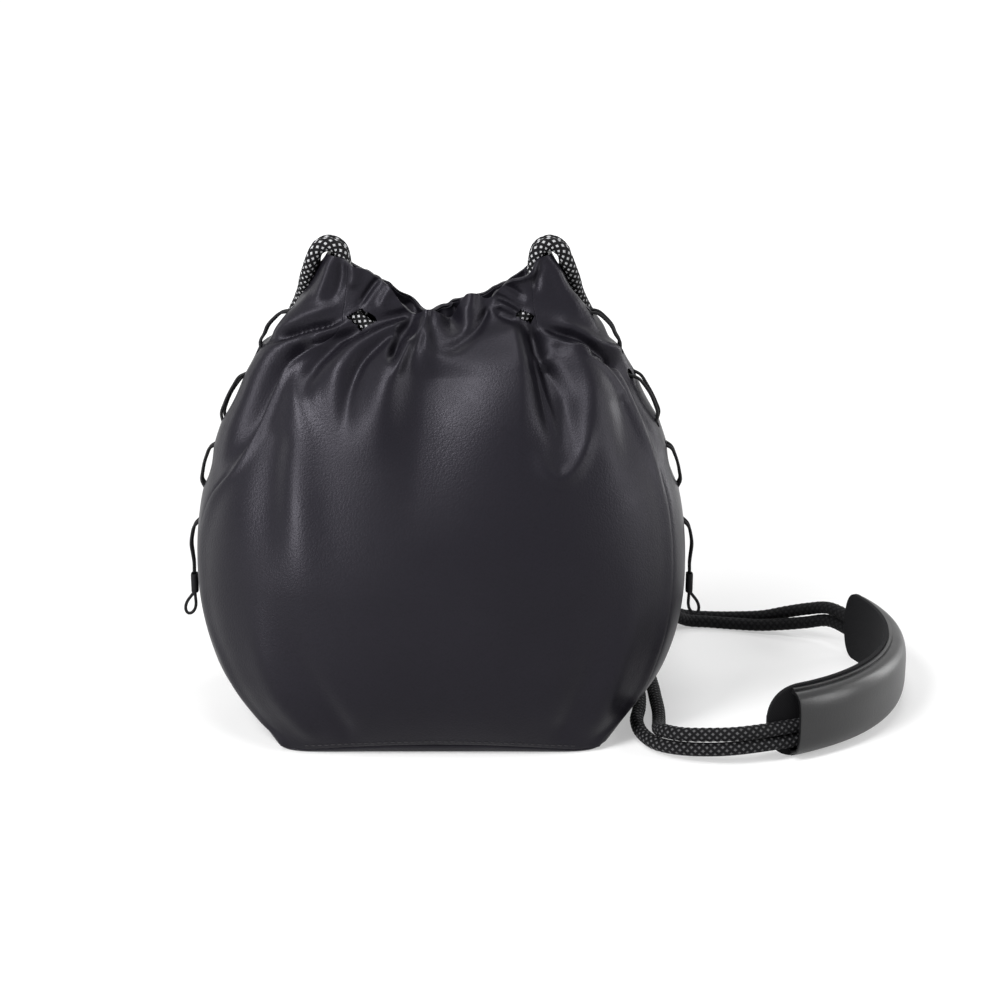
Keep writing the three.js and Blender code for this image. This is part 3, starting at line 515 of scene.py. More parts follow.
def new_object(name, points, faces, material, caps=(), uv=None, values=None):
    """A smooth mesh object at the origin, from points in millimetres and quads, with extra faces as caps."""
    mesh = bpy.data.meshes.new(name)
    loops = np.concatenate([faces.ravel(), *[np.asarray(c) for c in caps]]).astype(np.int32)
    sizes = np.concatenate([np.full(len(faces), faces.shape[1]), [len(c) for c in caps]]).astype(np.int32)
    mesh.vertices.add(len(points))
    mesh.vertices.foreach_set("co", (points * MM).astype(np.float32).ravel())
    mesh.loops.add(len(loops))
    mesh.loops.foreach_set("vertex_index", loops)
    mesh.polygons.add(len(sizes))
    mesh.polygons.foreach_set("loop_start", np.concatenate([[0], np.cumsum(sizes)[:-1]]).astype(np.int32))
    mesh.polygons.foreach_set("loop_total", sizes)
    if uv is not None:
        layer = mesh.uv_layers.new(name="Along")
        flat = np.zeros((len(loops), 2), np.float32)
        flat[: len(uv)] = uv
        layer.data.foreach_set("uv", flat.ravel())
    for key, value in (values or {}).items():
        attribute = mesh.attributes.new(key, "FLOAT", "POINT")
        attribute.data.foreach_set("value", np.asarray(value, np.float32).ravel())
    mesh.update(calc_edges=True)
    mesh.validate()
    mesh.shade_smooth()
    mesh.materials.append(material)
    obj = bpy.data.objects.new(name, mesh)
    bpy.context.scene.collection.objects.link(obj)
    return obj


def grid_object(name, grid, material, flip=False, around=False, along=False, drop=None):
    """An object from a grid of points; drop marks points whose faces are left out."""
    rows, columns = grid.shape[:2]
    faces = grid_faces(rows, columns, around, along)
    if flip:
        faces = faces[:, ::-1]
    points = grid.reshape(-1, 3)
    if drop is not None:
        faces = faces[~drop.ravel()[faces].all(1)]
        used, faces = np.unique(faces, return_inverse=True)
        faces = faces.reshape(-1, 4)
        points = points[used]
    return new_object(name, points, faces, material)


def thicken(obj, thickness, rim=0.0004):
    """Gives a sheet its thickness on the inner side, and rounds the cut edge."""
    solid = obj.modifiers.new("Thickness", "SOLIDIFY")
    solid.thickness = thickness * MM
    solid.offset = -1
    solid.use_rim = True
    if rim:
        edge = obj.modifiers.new("Edge", "BEVEL")
        edge.width = rim
        edge.segments = 2
        edge.limit_method = "ANGLE"
        edge.angle_limit = math.radians(62)
    return obj


def cut_shape(x, z, outline, step):
    """Fits a flat grid to a closed cut: points near its edge move onto it, those inside are marked."""
    shape = np.array(outline, float)
    ends = np.roll(shape, -1, 0)
    edge = ends - shape
    place = np.stack([x, z], -1)
    offset = place[..., None, :] - shape
    share = np.clip((offset * edge).sum(-1) / (edge**2).sum(-1), 0, 1)
    nearest = shape + share[..., None] * edge
    distance = np.linalg.norm(place[..., None, :] - nearest, axis=-1)
    best = distance.argmin(-1)[..., None]
    nearest = np.take_along_axis(nearest, best[..., None], -2)[..., 0, :]
    gap = np.take_along_axis(distance, best, -1)[..., 0]
    crosses = (shape[:, 1] > place[..., None, 1]) != (ends[:, 1] > place[..., None, 1])
    height = (place[..., None, 1] - shape[:, 1]) / np.where(edge[:, 1] == 0, 1e-9, edge[:, 1])
    inside = (crosses & (place[..., None, 0] < shape[:, 0] + height * edge[:, 0])).sum(-1) % 2 == 1
    snapped = gap < step
    x = np.where(snapped, nearest[..., 0], x)
    z = np.where(snapped, nearest[..., 1], z)
    return x, z, inside | snapped


def rounded_shape(corners, rounding):
    """A closed outline with its corners rounded, from its corner places."""
    corners = np.array(corners, float)
    before, after = np.roll(corners, 1, 0), np.roll(corners, -1, 0)
    start = corners + (before - corners) / np.linalg.norm(before - corners, axis=1)[:, None] * rounding
    end = corners + (after - corners) / np.linalg.norm(after - corners, axis=1)[:, None] * rounding
    t = np.linspace(0, 1, CORNER_STEPS)[None, :, None]
    arcs = (1 - t) ** 2 * start[:, None] + 2 * t * (1 - t) * corners[:, None] + t**2 * end[:, None]
    return arcs.reshape(-1, 2)


def frames(line):
    """Directions along a line, and two square to it that don't twist: each pair follows from the last."""
    ahead = np.gradient(line, axis=0)
    ahead /= np.linalg.norm(ahead, axis=1)[:, None]
    side = np.zeros_like(line)
    first = np.cross(ahead[0], (0, 0, 1))
    if np.linalg.norm(first) < 0.1:
        first = np.cross(ahead[0], (0, 1, 0))
    side[0] = first / np.linalg.norm(first)
    for i in range(1, len(line)):
        carried = side[i - 1] - ahead[i] * (side[i - 1] @ ahead[i])
        side[i] = carried / np.linalg.norm(carried)
    return ahead, side, np.cross(ahead, side)


def tube_object(name, line, radius, around, material, relief=None, start=0.0, values=None):
    """A tube along even points. Relief gives a share added to the radius at a turn (0 to 1) and a length."""
    ahead, side, other = frames(line)
    turn = np.arange(around) / around
    along = arc_lengths(line) + start
    angle = 2 * np.pi * turn
    size = np.full((len(line), around), float(radius))
    if relief is not None:
        size *= 1 + relief(turn[None, :], along[:, None])
    ring = np.cos(angle)[None, :, None] * side[:, None] + np.sin(angle)[None, :, None] * other[:, None]
    points = (line[:, None] + size[..., None] * ring).reshape(-1, 3)
    rows = len(line)
    faces = grid_faces(rows, around, around=True)
    i, j = np.divmod(np.arange(len(faces)), around)
    across, lengthways = np.stack([j, j + 1, j + 1, j], 1), np.stack([i, i, i + 1, i + 1], 1)
    uv = np.stack([across / around, along[lengthways] * MM], -1)
    caps = [np.arange(around)[::-1], (rows - 1) * around + np.arange(around)]
    values = {key: np.repeat(value, around) for key, value in (values or {}).items()}
    return new_object(name, points, faces, material, caps, uv.reshape(-1, 2), values)


def pills(name, places, ahead, outward, length, width, height, material):
    """Many small stitches as one mesh: a rounded pill at each place, along ahead and raised outward."""
    turn = np.linspace(0, 2 * np.pi, PILL_SIDES, endpoint=False)
    lift = np.linspace(0, np.pi, PILL_STEPS)
    along = -np.cos(lift)[:, None] * length / 2 + 0 * turn
    across = np.sin(lift)[:, None] ** 0.5 * np.cos(turn) * width / 2
    up = np.sin(lift)[:, None] ** 0.5 * np.sin(turn) * height / 2
    side = np.cross(ahead, outward)
    axes = np.stack([ahead, side, outward], 1)
    local = np.stack([along, across, up], -1).reshape(-1, 3)
    points = places[:, None] + local @ axes
    faces = grid_faces(PILL_STEPS, PILL_SIDES, around=True)
    faces = faces[None] + (np.arange(len(places)) * len(local))[:, None, None]
    return new_object(name, points.reshape(-1, 3), faces.reshape(-1, 4), material)


# Materials: shared effects are node groups that are built once


class Tree:
    """Adds nodes to a node tree and links their sockets."""

    def __init__(self, tree):
        self.tree = tree
        self.column = 0

    def add(self, kind, inputs=None, **settings):
        node = self.tree.nodes.new(kind)
        node.location = (self.column * 180, 0)
        self.column += 1
        for key, value in settings.items():
            setattr(node, key, value)
        for key, value in (inputs or {}).items():
            self.put(node.inputs[key], value)
        return node

    def put(self, socket, value):
        if isinstance(value, bpy.types.NodeSocket):
            self.tree.links.new(value, socket)
        elif socket.type == "RGBA":
            socket.default_value = (*value[:3], 1)
        else:
            socket.default_value = value

    def maths(self, operation, *values):
        node = self.add("ShaderNodeMath", operation=operation)
        for socket, value in zip(node.inputs, values):
            self.put(socket, value)
        return node.outputs[0]

    def own_place(self):
        return self.add("ShaderNodeTexCoord").outputs["Object"]

    def noise(self, place, scale, detail, **inputs):
        inputs = {"Vector": place, "Scale": scale, "Detail": detail, **inputs}
        return self.add("ShaderNodeTexNoise", inputs).outputs["Fac"]

    def bump(self, shader, height, strength, distance):
        node = self.add("ShaderNodeBump", {"Height": height, "Strength": strength, "Distance": distance})
        self.put(shader.inputs["Normal"], node.outputs[0])

    def blend(self, share, start, end):
        node = self.add("ShaderNodeMix", data_type="RGBA")
        for socket, value in ((node.inputs["Factor"], share), (node.inputs[6], start), (node.inputs[7], end)):
            self.put(socket, value)
        return node.outputs[2]

    def ramp(self, value, low, high, start=0.0, end=1.0):
        keys = {"Value": value, "From Min": low, "From Max": high, "To Min": start, "To Max": end}
        return self.add("ShaderNodeMapRange", keys, interpolation_type="SMOOTHSTEP").outputs[0]


def node_group(name, inputs, outputs, build):
    """A shader node group made once: build gets its tree, its input node and returns its outputs by name."""
    found = bpy.data.node_groups.get(name)
    if found:
        return found
    group = bpy.data.node_groups.new(name, "ShaderNodeTree")
    for key, (kind, value) in inputs.items():
        socket = group.interface.new_socket(key, in_out="INPUT", socket_type=kind)
        if value is not None:
            socket.default_value = value
    for key, kind in outputs.items():
        group.interface.new_socket(key, in_out="OUTPUT", socket_type=kind)
    tree = Tree(group)
    ends = build(tree, tree.add("NodeGroupInput").outputs)
    out = tree.add("NodeGroupOutput")
    for key, socket in ends.items():
        tree.put(out.inputs[key], socket)
    return group


def grain_group():
    """Leather grain: small rounded cells with soft creases between them, and a slow change of shine."""

    def build(tree, given):
        place = tree.own_place()
        cells = tree.add(
            "ShaderNodeTexVoronoi", {"Vector": place, "Scale": given["Cells"], "Randomness": 0.9},
            feature="SMOOTH_F1",
        )
        fine = tree.noise(place, given["Cells"], 3.0)
        slow = tree.noise(place, 22.0, 3.0, Roughness=0.6)
        dome = tree.maths("SUBTRACT", 1.0, cells.outputs["Distance"])
        height = tree.maths("ADD", dome, tree.maths("MULTIPLY", fine, 0.6))
        shine = tree.ramp(slow, 0.3, 0.72)
        return {"Height": height, "Shine": shine, "Crease": tree.ramp(cells.outputs["Distance"], 0.35, 0.75)}

    return node_group(
        "Leather grain", {"Cells": ("NodeSocketFloat", 1300.0)},
        {"Height": "NodeSocketFloat", "Shine": "NodeSocketFloat", "Crease": "NodeSocketFloat"}, build,
    )


BRAID_STRANDS = 6.0
BRAID_PITCH = 3.7


def braid_group():
    """Braided rope by its own length: a diamond lattice of strands, with a light yarn in each."""

    def build(tree, given):
        along = tree.add("ShaderNodeUVMap", uv_map="Along").outputs[0]
        parts = tree.add("ShaderNodeSeparateXYZ", {"Vector": along})
        turn = tree.maths("MULTIPLY", parts.outputs["X"], given["Strands"])
        run = tree.maths("DIVIDE", parts.outputs["Y"], given["Pitch"])
        one = tree.maths("FRACT", tree.maths("ADD", turn, run))
        two = tree.maths("FRACT", tree.maths("SUBTRACT", turn, run))
        a = tree.maths("ABSOLUTE", tree.maths("SUBTRACT", one, 0.5))
        b = tree.maths("ABSOLUTE", tree.maths("SUBTRACT", two, 0.5))
        far = tree.maths("MAXIMUM", a, b)
        noise = tree.noise(tree.own_place(), 2600.0, 2.0)
        rough = tree.maths("ADD", far, tree.maths("MULTIPLY", tree.maths("SUBTRACT", noise, 0.5), 0.12))
        light = tree.ramp(rough, 0.25, 0.18)
        wave = tree.maths("SINE", tree.maths("MULTIPLY", tree.maths("SUBTRACT", a, b), 40.0))
        yarn = tree.maths("ABSOLUTE", wave)
        height = tree.maths("ADD", tree.ramp(far, 0.5, 0.1), tree.maths("MULTIPLY", yarn, 0.15))
        return {"Light": light, "Height": height, "Groove": tree.ramp(far, 0.36, 0.5)}

    return node_group(
        "Braid",
        {"Strands": ("NodeSocketFloat", BRAID_STRANDS), "Pitch": ("NodeSocketFloat", BRAID_PITCH * MM)},
        {"Light": "NodeSocketFloat", "Height": "NodeSocketFloat", "Groove": "NodeSocketFloat"}, build,
    )


def weave_group():
    """Plain weave: crossing threads over and under by the object's own place."""

    def build(tree, given):
        place = tree.own_place()
        parts = tree.add("ShaderNodeSeparateXYZ", {"Vector": place})
        across = tree.maths("ADD", parts.outputs["X"], parts.outputs["Y"])
        one = tree.maths("SINE", tree.maths("MULTIPLY", across, given["Threads"]))
        two = tree.maths("SINE", tree.maths("MULTIPLY", parts.outputs["Z"], given["Threads"]))
        height = tree.maths("MULTIPLY", one, two)
        slow = tree.noise(place, 60.0, 2.0)
        return {"Height": height, "Shade": tree.ramp(slow, 0.25, 0.75, 0.8, 1.1)}

    return node_group(
        "Weave", {"Threads": ("NodeSocketFloat", 5200.0)},
        {"Height": "NodeSocketFloat", "Shade": "NodeSocketFloat"}, build,
    )


def dust_group():
    """Faint wear: pale dust that lies in patches on what faces up."""

    def build(tree, given):
        normal = tree.add("ShaderNodeNewGeometry").outputs["Normal"]
        up = tree.add("ShaderNodeSeparateXYZ", {"Vector": normal}).outputs["Z"]
        cloud = tree.noise(tree.own_place(), 45.0, 4.0)
        lying = tree.maths("MULTIPLY", tree.ramp(up, 0.2, 1.0), tree.ramp(cloud, 0.45, 0.8))
        return {"Dust": tree.maths("MULTIPLY", lying, given["Amount"])}

    return node_group("Dust", {"Amount": ("NodeSocketFloat", 0.1)}, {"Dust": "NodeSocketFloat"}, build)


def new_material(name, build):
    found = bpy.data.materials.get(name)
    if found:
        return found
    material = bpy.data.materials.new(name)
    material.use_nodes = True
    tree = Tree(material.node_tree)
    shader = material.node_tree.nodes["Principled BSDF"]
    build(tree, shader)
    return material


def use_group(tree, group, **inputs):
    node = tree.add("ShaderNodeGroup", node_tree=group)
    for key, value in inputs.items():
        tree.put(node.inputs[key], value)
    return node.outputs


LEATHER_CELLS = 1100.0
LEATHER_DUST = 0.006


def scaled(colour, share):
    return tuple(min(1.0, c * share) for c in colour)


def leather_material(name, colour, roughness, tint, relief=0.00015, gloss=0.18):
    def build(tree, shader):
        grain = use_group(tree, grain_group(), Cells=LEATHER_CELLS)
        worn = use_group(tree, dust_group(), Amount=LEATHER_DUST)
        base = tree.blend(grain["Shine"], scaled(colour, 0.9), scaled(colour, 1.12))
        base = tree.blend(tree.maths("MULTIPLY", grain["Crease"], 0.35), base, scaled(colour, 0.55))
        base = tree.blend(worn["Dust"], base, (0.3, 0.3, 0.3))
        tree.put(shader.inputs["Base Color"], base)
        matt = tree.ramp(grain["Shine"], 0, 1, roughness + 0.05, roughness - 0.04)
        tree.put(shader.inputs["Roughness"], matt)
        shader.inputs["Specular IOR Level"].default_value = gloss
        shader.inputs["Specular Tint"].default_value = (*tint, 1)
        tree.bump(shader, grain["Height"], 0.5, relief)

    return new_material(name, build)


def rope_material(name, colour, fleck):
    """Braided rope: light yarn where the braid's mask says so, dimmed along the rope by painted light and
    shade.
    """

    def build(tree, shader):
        braid = use_group(tree, braid_group())
        # The fleck attribute carries painted light and shade: it dims the light yarn where the rope lies in
        # shade.
        painted_light_share = tree.add("ShaderNodeAttribute", attribute_name="fleck").outputs["Fac"]
        light = tree.maths("MULTIPLY", braid["Light"], painted_light_share)
        dark = tree.blend(braid["Groove"], colour, scaled(colour, 0.3))
        tree.put(shader.inputs["Base Color"], tree.blend(light, dark, fleck))
        shader.inputs["Roughness"].default_value = 0.7
        shader.inputs["Specular IOR Level"].default_value = 0.1
        tree.bump(shader, braid["Height"], 0.8, 0.0003)

    return new_material(name, build)


def woven_material(name, colour, threads=5200.0, roughness=0.9):
    def build(tree, shader):
        weave = use_group(tree, weave_group(), Threads=threads)
        shade = tree.ramp(weave["Height"], -1, 1)
        base = tree.blend(shade, scaled(colour, 0.6), scaled(colour, 1.2))
        base = tree.blend(tree.maths("SUBTRACT", 1.0, weave["Shade"]), base, scaled(colour, 0.5))
        tree.put(shader.inputs["Base Color"], base)
        shader.inputs["Roughness"].default_value = roughness
        shader.inputs["Specular IOR Level"].default_value = 0.12
        tree.bump(shader, weave["Height"], 0.5, 0.0001)

    return new_material(name, build)


def thread_material(name, colour):
    def build(tree, shader):
        twist = tree.noise(tree.own_place(), 3000.0, 1.0)
        tree.put(shader.inputs["Base Color"], tree.blend(twist, scaled(colour, 0.7), scaled(colour, 1.3)))
        shader.inputs["Roughness"].default_value = 0.6
        shader.inputs["Specular IOR Level"].default_value = 0.15

    return new_material(name, build)


def board_material(name, colour):
    def build(tree, shader):
        fibre = tree.noise(tree.own_place(), 700.0, 4.0)
        tree.put(shader.inputs["Base Color"], tree.blend(fibre, scaled(colour, 0.7), scaled(colour, 1.25)))
        shader.inputs["Roughness"].default_value = 0.92

    return new_material(name, build)


# Pieces


def bag_surface(scene):
    outline = Outline(scene.pouch_form)
    return outline, Leather(outline, Camera(scene.pouch_view))


def bag_leather(scene):
    finish = scene.pouch_finish
    return leather_material("Bag leather", finish.leather, finish.leather_roughness, finish.leather_sheen)


def place(obj, body, slot, *nodes):
    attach(obj, body)
    if nodes:
        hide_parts(*nodes)


def seam_line(outline, z, face, side, gap):
    """Distance of a panel's edge from the middle, kept half a gap from the seam, measured square to it."""
    slope = outline.seam_half(z + 0.5, face, side) - outline.seam_half(z - 0.5, face, side)
    open_share = mix(1, 0.35, smooth((z - 200) / 10))
    return outline.seam_half(z, face, side) + gap * open_share * np.hypot(1, slope)


def lap(distance, z, height, reach):
    """A roll beside a seam: how far the leather rises or sinks near it, nothing above the channel."""
    return height * np.exp(-((distance / reach) ** 2)) * smooth((208 - z) / 12)


def pucker(y, z):
    """How far the leather sinks under each arc of the side laces, which draw it together there."""
    depth = 0 * z
    for low, high in LACE_ARCS[1:]:
        share = np.clip((z - low) / (high - low), 0, 1)
        depth = depth + 1.7 * np.sin(np.pi * share) ** 1.2
    return -depth * np.exp(-((y / 13) ** 2))


HEM_BETWEEN = (189.0, 241.0)
SEAM_GAP = 0.15


def meet_hem(x_at, hem_at, shape):
    """Heights where rising lines meet the hem, by halving between two heights that are below and above it."""
    low, high = np.full(shape, HEM_BETWEEN[0]), np.full(shape, HEM_BETWEEN[1])
    for _ in range(30):
        middle = (low + high) / 2
        below = middle < hem_at(x_at(middle))
        low, high = np.where(below, middle, low), np.where(below, high, middle)
    return low


def rows_of(count):
    """Shares of the height of a panel's rows, closer together towards the hem."""
    t = np.linspace(0, 1, count)[:, None]
    return t + 0.35 * t * (1 - t)


def face_panel(outline, leather, side, rows, columns, windows):
    """Front or back panel: x is a share of the seam's half distance, z runs from base seam to hem."""
    share = np.linspace(0, 1, columns)[None, :]

    def x_at(z):
        left, right = (seam_line(outline, z, side, end, -SEAM_GAP) for end in (LEFT, RIGHT))
        return mix(-left, right, share)

    bottom = outline.bottom_seam(x_at(np.full((1, columns), 3.0))) + SEAM_GAP
    top = meet_hem(x_at, lambda x: outline.hem(x, side), (1, columns))
    z = mix(bottom, top, rows_of(rows))
    x = x_at(z)
    drop = np.zeros(x.shape, bool)
    for window in windows:
        x, z, inside = cut_shape(x, z, window, 0.34)
        drop |= inside
    beside = np.minimum(share, 1 - share) * 2 * outline.seam_half(z, side, RIGHT)
    return leather.raised(outline.face(x, z, side), lap(beside, z, 1.3, 2.8)), drop


def gusset(outline, leather, side, rows, columns, holes):
    """Gusset: turns round the flank from front seam to back seam, by the angle about the bag's middle."""
    turn = np.linspace(-1, 1, columns)[None, :]  # an even count, so that no column lies at 0

    def angle_at(z):
        n = outline.squareness(z)
        reach = [seam_line(outline, z, face, side, SEAM_GAP) for face in (FRONT, BACK)]
        depth = [outline.half_depth(z) * (1 - (r / outline.half_width(z)) ** n) ** (1 / n) for r in reach]
        return turn * np.where(turn < 0, np.arctan2(depth[0], reach[0]), np.arctan2(depth[1], reach[1]))

    def radius_at(z):
        n = outline.squareness(z)
        angle = angle_at(z)
        return outline.level(np.cos(angle), np.sin(angle), z) ** (-1 / n)

    def x_at(z):
        return side * radius_at(z) * np.cos(angle_at(z))

    def hem_at(x):
        return mix(outline.hem(x, FRONT), outline.hem(x, BACK), smooth(0.5 + turn / 2))

    top = meet_hem(x_at, hem_at, (1, columns))
    z = mix(2.15, top, rows_of(rows))
    x, y = x_at(z), radius_at(z) * np.sin(angle_at(z))
    drop = np.zeros(x.shape, bool)
    for hole in holes:
        y_new, z_new, inside = cut_shape(y, z, hole, 0.45)
        moved = (y_new != y) | (z_new != z)
        y, z = y_new, z_new
        x = np.where(moved, outline.flank(y, z, side)[..., 0], x)
        drop |= inside
    beside = (1 - np.abs(turn)) * np.abs(angle_at(z) / turn) * radius_at(z)
    relief = lap(beside, z, -1.3, 3.4) + pucker(y, z)
    return leather.raised(np.stack([x, y, z], -1), relief), drop


# Windows in the front and back where the rope shows, as corners in millimetres across and up
WINDOWS = [
    [(-45.8, 211.6), (-38.1, 215.5), (-29.2, 210.9), (-38.5, 206.6)],
    [(36.8, 211.8), (39.9, 215.3), (47.2, 212.4), (45.0, 208.9)],
]
LACE_ROW_HALF = 3
LACE_LEG_HALF = 1.05
SLEEVE_X, SLEEVE_MIDDLE, SLEEVE_HALF = 127.3, 69.2, 5
LACE_END = 74.8  # a little above the sleeve's mouth
LACE_ARCS = [(76.5, 104), (121, 144), (155, 180.5), (192, 212)]


def lace_holes():
    """Round holes on both rows, at each height where the lace goes in or out."""
    turn = np.linspace(0, 2 * np.pi, 12, endpoint=False)
    heights = [z for arc in LACE_ARCS for z in arc][1:]
    return [
        np.stack([row * LACE_ROW_HALF + 1.7 * np.cos(turn), z + 2.6 * np.sin(turn)], -1)
        for z in heights for row in (-1, 1)
    ]


class POUCH_OT_leather(bpy.types.Operator):
    """Builds the front and back panels and the two gussets, gathered into folds at the neck"""

    bl_idname = "pouch.leather"
    bl_label = "Leather"

    def execute(self, context):
        outline, leather = bag_surface(context.scene)
        material = bag_leather(context.scene)
        windows = [rounded_shape(corners, 0.6) for corners in WINDOWS]
        for name, side in (("front_panel", FRONT), ("back_panel", BACK)):
            grid, drop = face_panel(outline, leather, side, PANEL_ROWS, PANEL_COLUMNS, windows)
            obj = grid_object(f"leather_{name}", grid, material, flip=side == BACK, drop=drop)
            place(thicken(obj, outline.leather), "bag", "leather", name)
        for name, side in (("left_gusset", LEFT), ("right_gusset", RIGHT)):
            grid, drop = gusset(outline, leather, side, PANEL_ROWS, GUSSET_COLUMNS, lace_holes())
            obj = grid_object(f"leather_{name}", grid, material, flip=side == LEFT, drop=drop)
            place(thicken(obj, outline.leather), "bag", "leather", name)
        return {"FINISHED"}


# Rings of the base panel: shares of the height of its seam, distances inward and the least height; the outer
# side goes up and the inner side comes down again
BASE_RINGS = [
    (0.0, 2.6, 0), (0.04, 1.5, 0), (0.16, 0.6, 0), (0.4, 0.15, 0), (0.7, 0, 0), (0.94, 0.05, 0),
    (1.0, 0.45, 0), (1.0, 1.4, 1.7), (0.85, 1.8, 1.7), (0.5, 2.0, 1.7),
]


def section_ring(outline, heights, inward, count):
    """A ring round the bag at heights that may change with x, moved inward by a distance."""
    angle = 2 * np.pi * (np.arange(count) + 0.5) / count
    c, s = np.cos(angle), np.sin(angle)
    z = heights(np.zeros(count))
    for _ in range(4):
        n = outline.squareness(z)
        x = np.sign(c) * outline.half_width(z) * np.abs(c) ** (2 / n)
        y = np.sign(s) * outline.half_depth(z) * np.abs(s) ** (2 / n)
        points = np.stack([x, y, z + 0 * x], -1)
        z = heights(x)
    return points - outline.outward(points) * inward


class POUCH_OT_base(bpy.types.Operator):
    """Builds the turned-up base, its seam stitches and the finish of the board inside it"""

    bl_idname = "pouch.base"
    bl_label = "Base"

    def execute(self, context):
        outline, leather = bag_surface(context.scene)
        material = bag_leather(context.scene)

        def top(x):
            return outline.bottom_seam(x) - SEAM_GAP

        rings = []
        for level, inset, least in BASE_RINGS:
            ring = section_ring(outline, lambda x: top(x) * level, inset, BASE_RING)
            ring[:, 2] = np.maximum(ring[:, 2], least) if level else 0
            rings.append(ring)
        grid = np.array(rings)
        count = len(grid) * BASE_RING
        caps = [np.arange(BASE_RING)[::-1], np.arange(count - BASE_RING, count)]
        faces = grid_faces(len(grid), BASE_RING, around=True)
        obj = new_object("leather_base_panel", grid.reshape(-1, 3), faces, material, caps)
        place(obj, "bag", "leather", "base_panel")

        x = np.arange(-66, 66.1, 3.3)
        z = outline.bottom_seam(x) + 2.3
        finish = context.scene.pouch_finish
        thread = thread_material("Sewing thread", finish.thread)
        for name, side in (("front", FRONT), ("back", BACK)):
            seats = leather.raised(outline.face(x, z, side), 0.12)
            ahead = np.gradient(seats, axis=0)
            ahead /= np.linalg.norm(ahead, axis=1)[:, None]
            outward = outline.outward(outline.face(x, z, side))
            stitches = pills(f"stitches_base_{name}", seats, ahead, outward, 2.3, 0.55, 0.5, thread)
            place(stitches, "bag", "leather")

        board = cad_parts["base_board"]
        board.data.materials.clear()
        board.data.materials.append(board_material("Base board", finish.board))
        return {"FINISHED"}


class POUCH_OT_lining(bpy.types.Operator):
    """Builds the woven inner bag and the two facings that make the rope channel"""

    bl_idname = "pouch.lining"
    bl_label = "Lining"

    def execute(self, context):
        outline, leather = bag_surface(context.scene)
        floor = 3.9

        def top(x):
            return outline.channel(np.minimum(np.abs(x), 36)) - 11

        rings = []
        for level in smooth(np.linspace(0, 1, LINING_ROWS)) * 0.5 + np.linspace(0, 1, LINING_ROWS) * 0.5:
            ring = section_ring(outline, lambda x: mix(floor, top(x), level), 0, LINING_RING)
            tuck = smooth((ring[:, 2] - top(ring[:, 0]) + 9) / 9)
            rings.append(leather.raised(ring, -mix(5.6, 2.8, tuck)))
        grid = np.array(rings)
        grid[0, :, 2] = floor
        material = woven_material("Lining weave", context.scene.pouch_finish.lining)
        floor_cap = [np.arange(LINING_RING)[::-1]]
        faces = grid_faces(len(grid), LINING_RING, around=True)
        obj = new_object("lining_bag", grid.reshape(-1, 3), faces, material, floor_cap)
        place(thicken(obj, 0.8, rim=0), "bag", "lining", "lining")

        cloth = bag_leather(context.scene)
        for name, side in (("front_facing", FRONT), ("back_facing", BACK)):
            x = np.linspace(-36, 36, 110)[None, :]
            share = np.linspace(0, 1, 60)[:, None]
            z = mix(outline.channel(x) - 10, outline.hem(x, side) - 0.5, share)
            off = np.abs(z - outline.channel(x))
            bulge = smooth((8.5 - off) / 5.5)
            depth = mix(2.2, 10.4, bulge)
            grid = leather.raised(outline.face(x + 0 * z, z, side), -depth)
            obj = grid_object(f"leather_{name}", grid, cloth, flip=side == BACK)
            place(thicken(obj, 1.0, rim=0.0003), "bag", "leather", name)
        return {"FINISHED"}


# Rope routes in millimetres. The whole rope is one ring: through the front channel, along the strap and
# through the pad, through the back channel, and along the strap again.


def mirrored(points):
    return [(-x, y, z) for x, y, z in reversed(points)]


EAR_RISE = [
    (45.6, 7.8, 214.6), (46.6, 5.4, 222), (46.9, 4.2, 229), (46.9, 3.8, 235), (49.1, 3.8, 242.9),
    (54.6, 3.9, 245.4),
]
EAR_FRONT = [(x, -y, z) for x, y, z in EAR_RISE] + [
    (59.8, -3.6, 242.9), (62.4, -2.2, 238), (64.8, 1.5, 231.5), (66.5, 5, 226.5), (68, 9.6, 220.5),
]
EAR_BACK = EAR_RISE + [
    (59.6, 4.4, 242.9), (62, 5.6, 238.2), (62.3, 9, 231.5), (61.2, 12.4, 226), (61.5, 15.3, 220),
]
OUTER_BACK = [
    (70.5, 13.8, 214), (75, 17.4, 205), (79.5, 21.7, 195), (84.5, 29.4, 180), (88, 37.1, 165),
    (91, 43.5, 150), (94, 50.5, 130), (96, 55.6, 110),
]
INNER_BACK = [
    (64, 17.8, 214), (68.5, 21.6, 205), (72.5, 26.3, 195), (77.5, 33.9, 180), (81, 41.2, 165),
    (84, 47.8, 150), (87, 54.9, 130), (89, 60.1, 110),
]
OUTER_RIGHT_FLOOR = [
    (98.5, 60, 92), (104, 75, 68), (113, 92, 42), (122, 106, 22), (130, 115.5, 10), (138, 120.5, 4.6),
    (150, 120.8, 3.6), (165, 117.2, 3.7), (178.6, 112.3, 4.7), (191.8, 108.2, 6.7), (203.7, 103.4, 9.5),
]
INNER_RIGHT_FLOOR = [
    (91.5, 66, 92), (97.5, 81, 68), (107, 99, 42), (117, 114, 22), (127, 124, 10), (137, 128.8, 4.6),
    (150, 128.8, 3.6), (165.6, 125, 4.8), (181.4, 118.9, 7.7), (194.2, 113.3, 12.3), (205.3, 106, 16.8),
]
LOWER_FLOOR = [
    (133, -72.3, 7.2), (118, -66.5, 5.5), (107.5, -57, 4.1), (101.5, -43, 3.6), (99.8, -27, 3.6),
    (102, -11, 3.6), (103.3, 8, 3.6), (102.5, 28, 3.6), (99, 48, 3.6), (91, 65, 3.6), (77, 76, 3.6),
    (58, 80.5, 3.6), (34, 82, 3.6), (8, 82, 3.6), (-18, 81.5, 3.6), (-44, 82, 3.6), (-66, 85, 3.7),
    (-84, 85.5, 6), (-94, 79, 13), (-96, 72, 25), (-95, 68, 42), (-93, 66, 66), (-91.5, 64.2, 90),
]
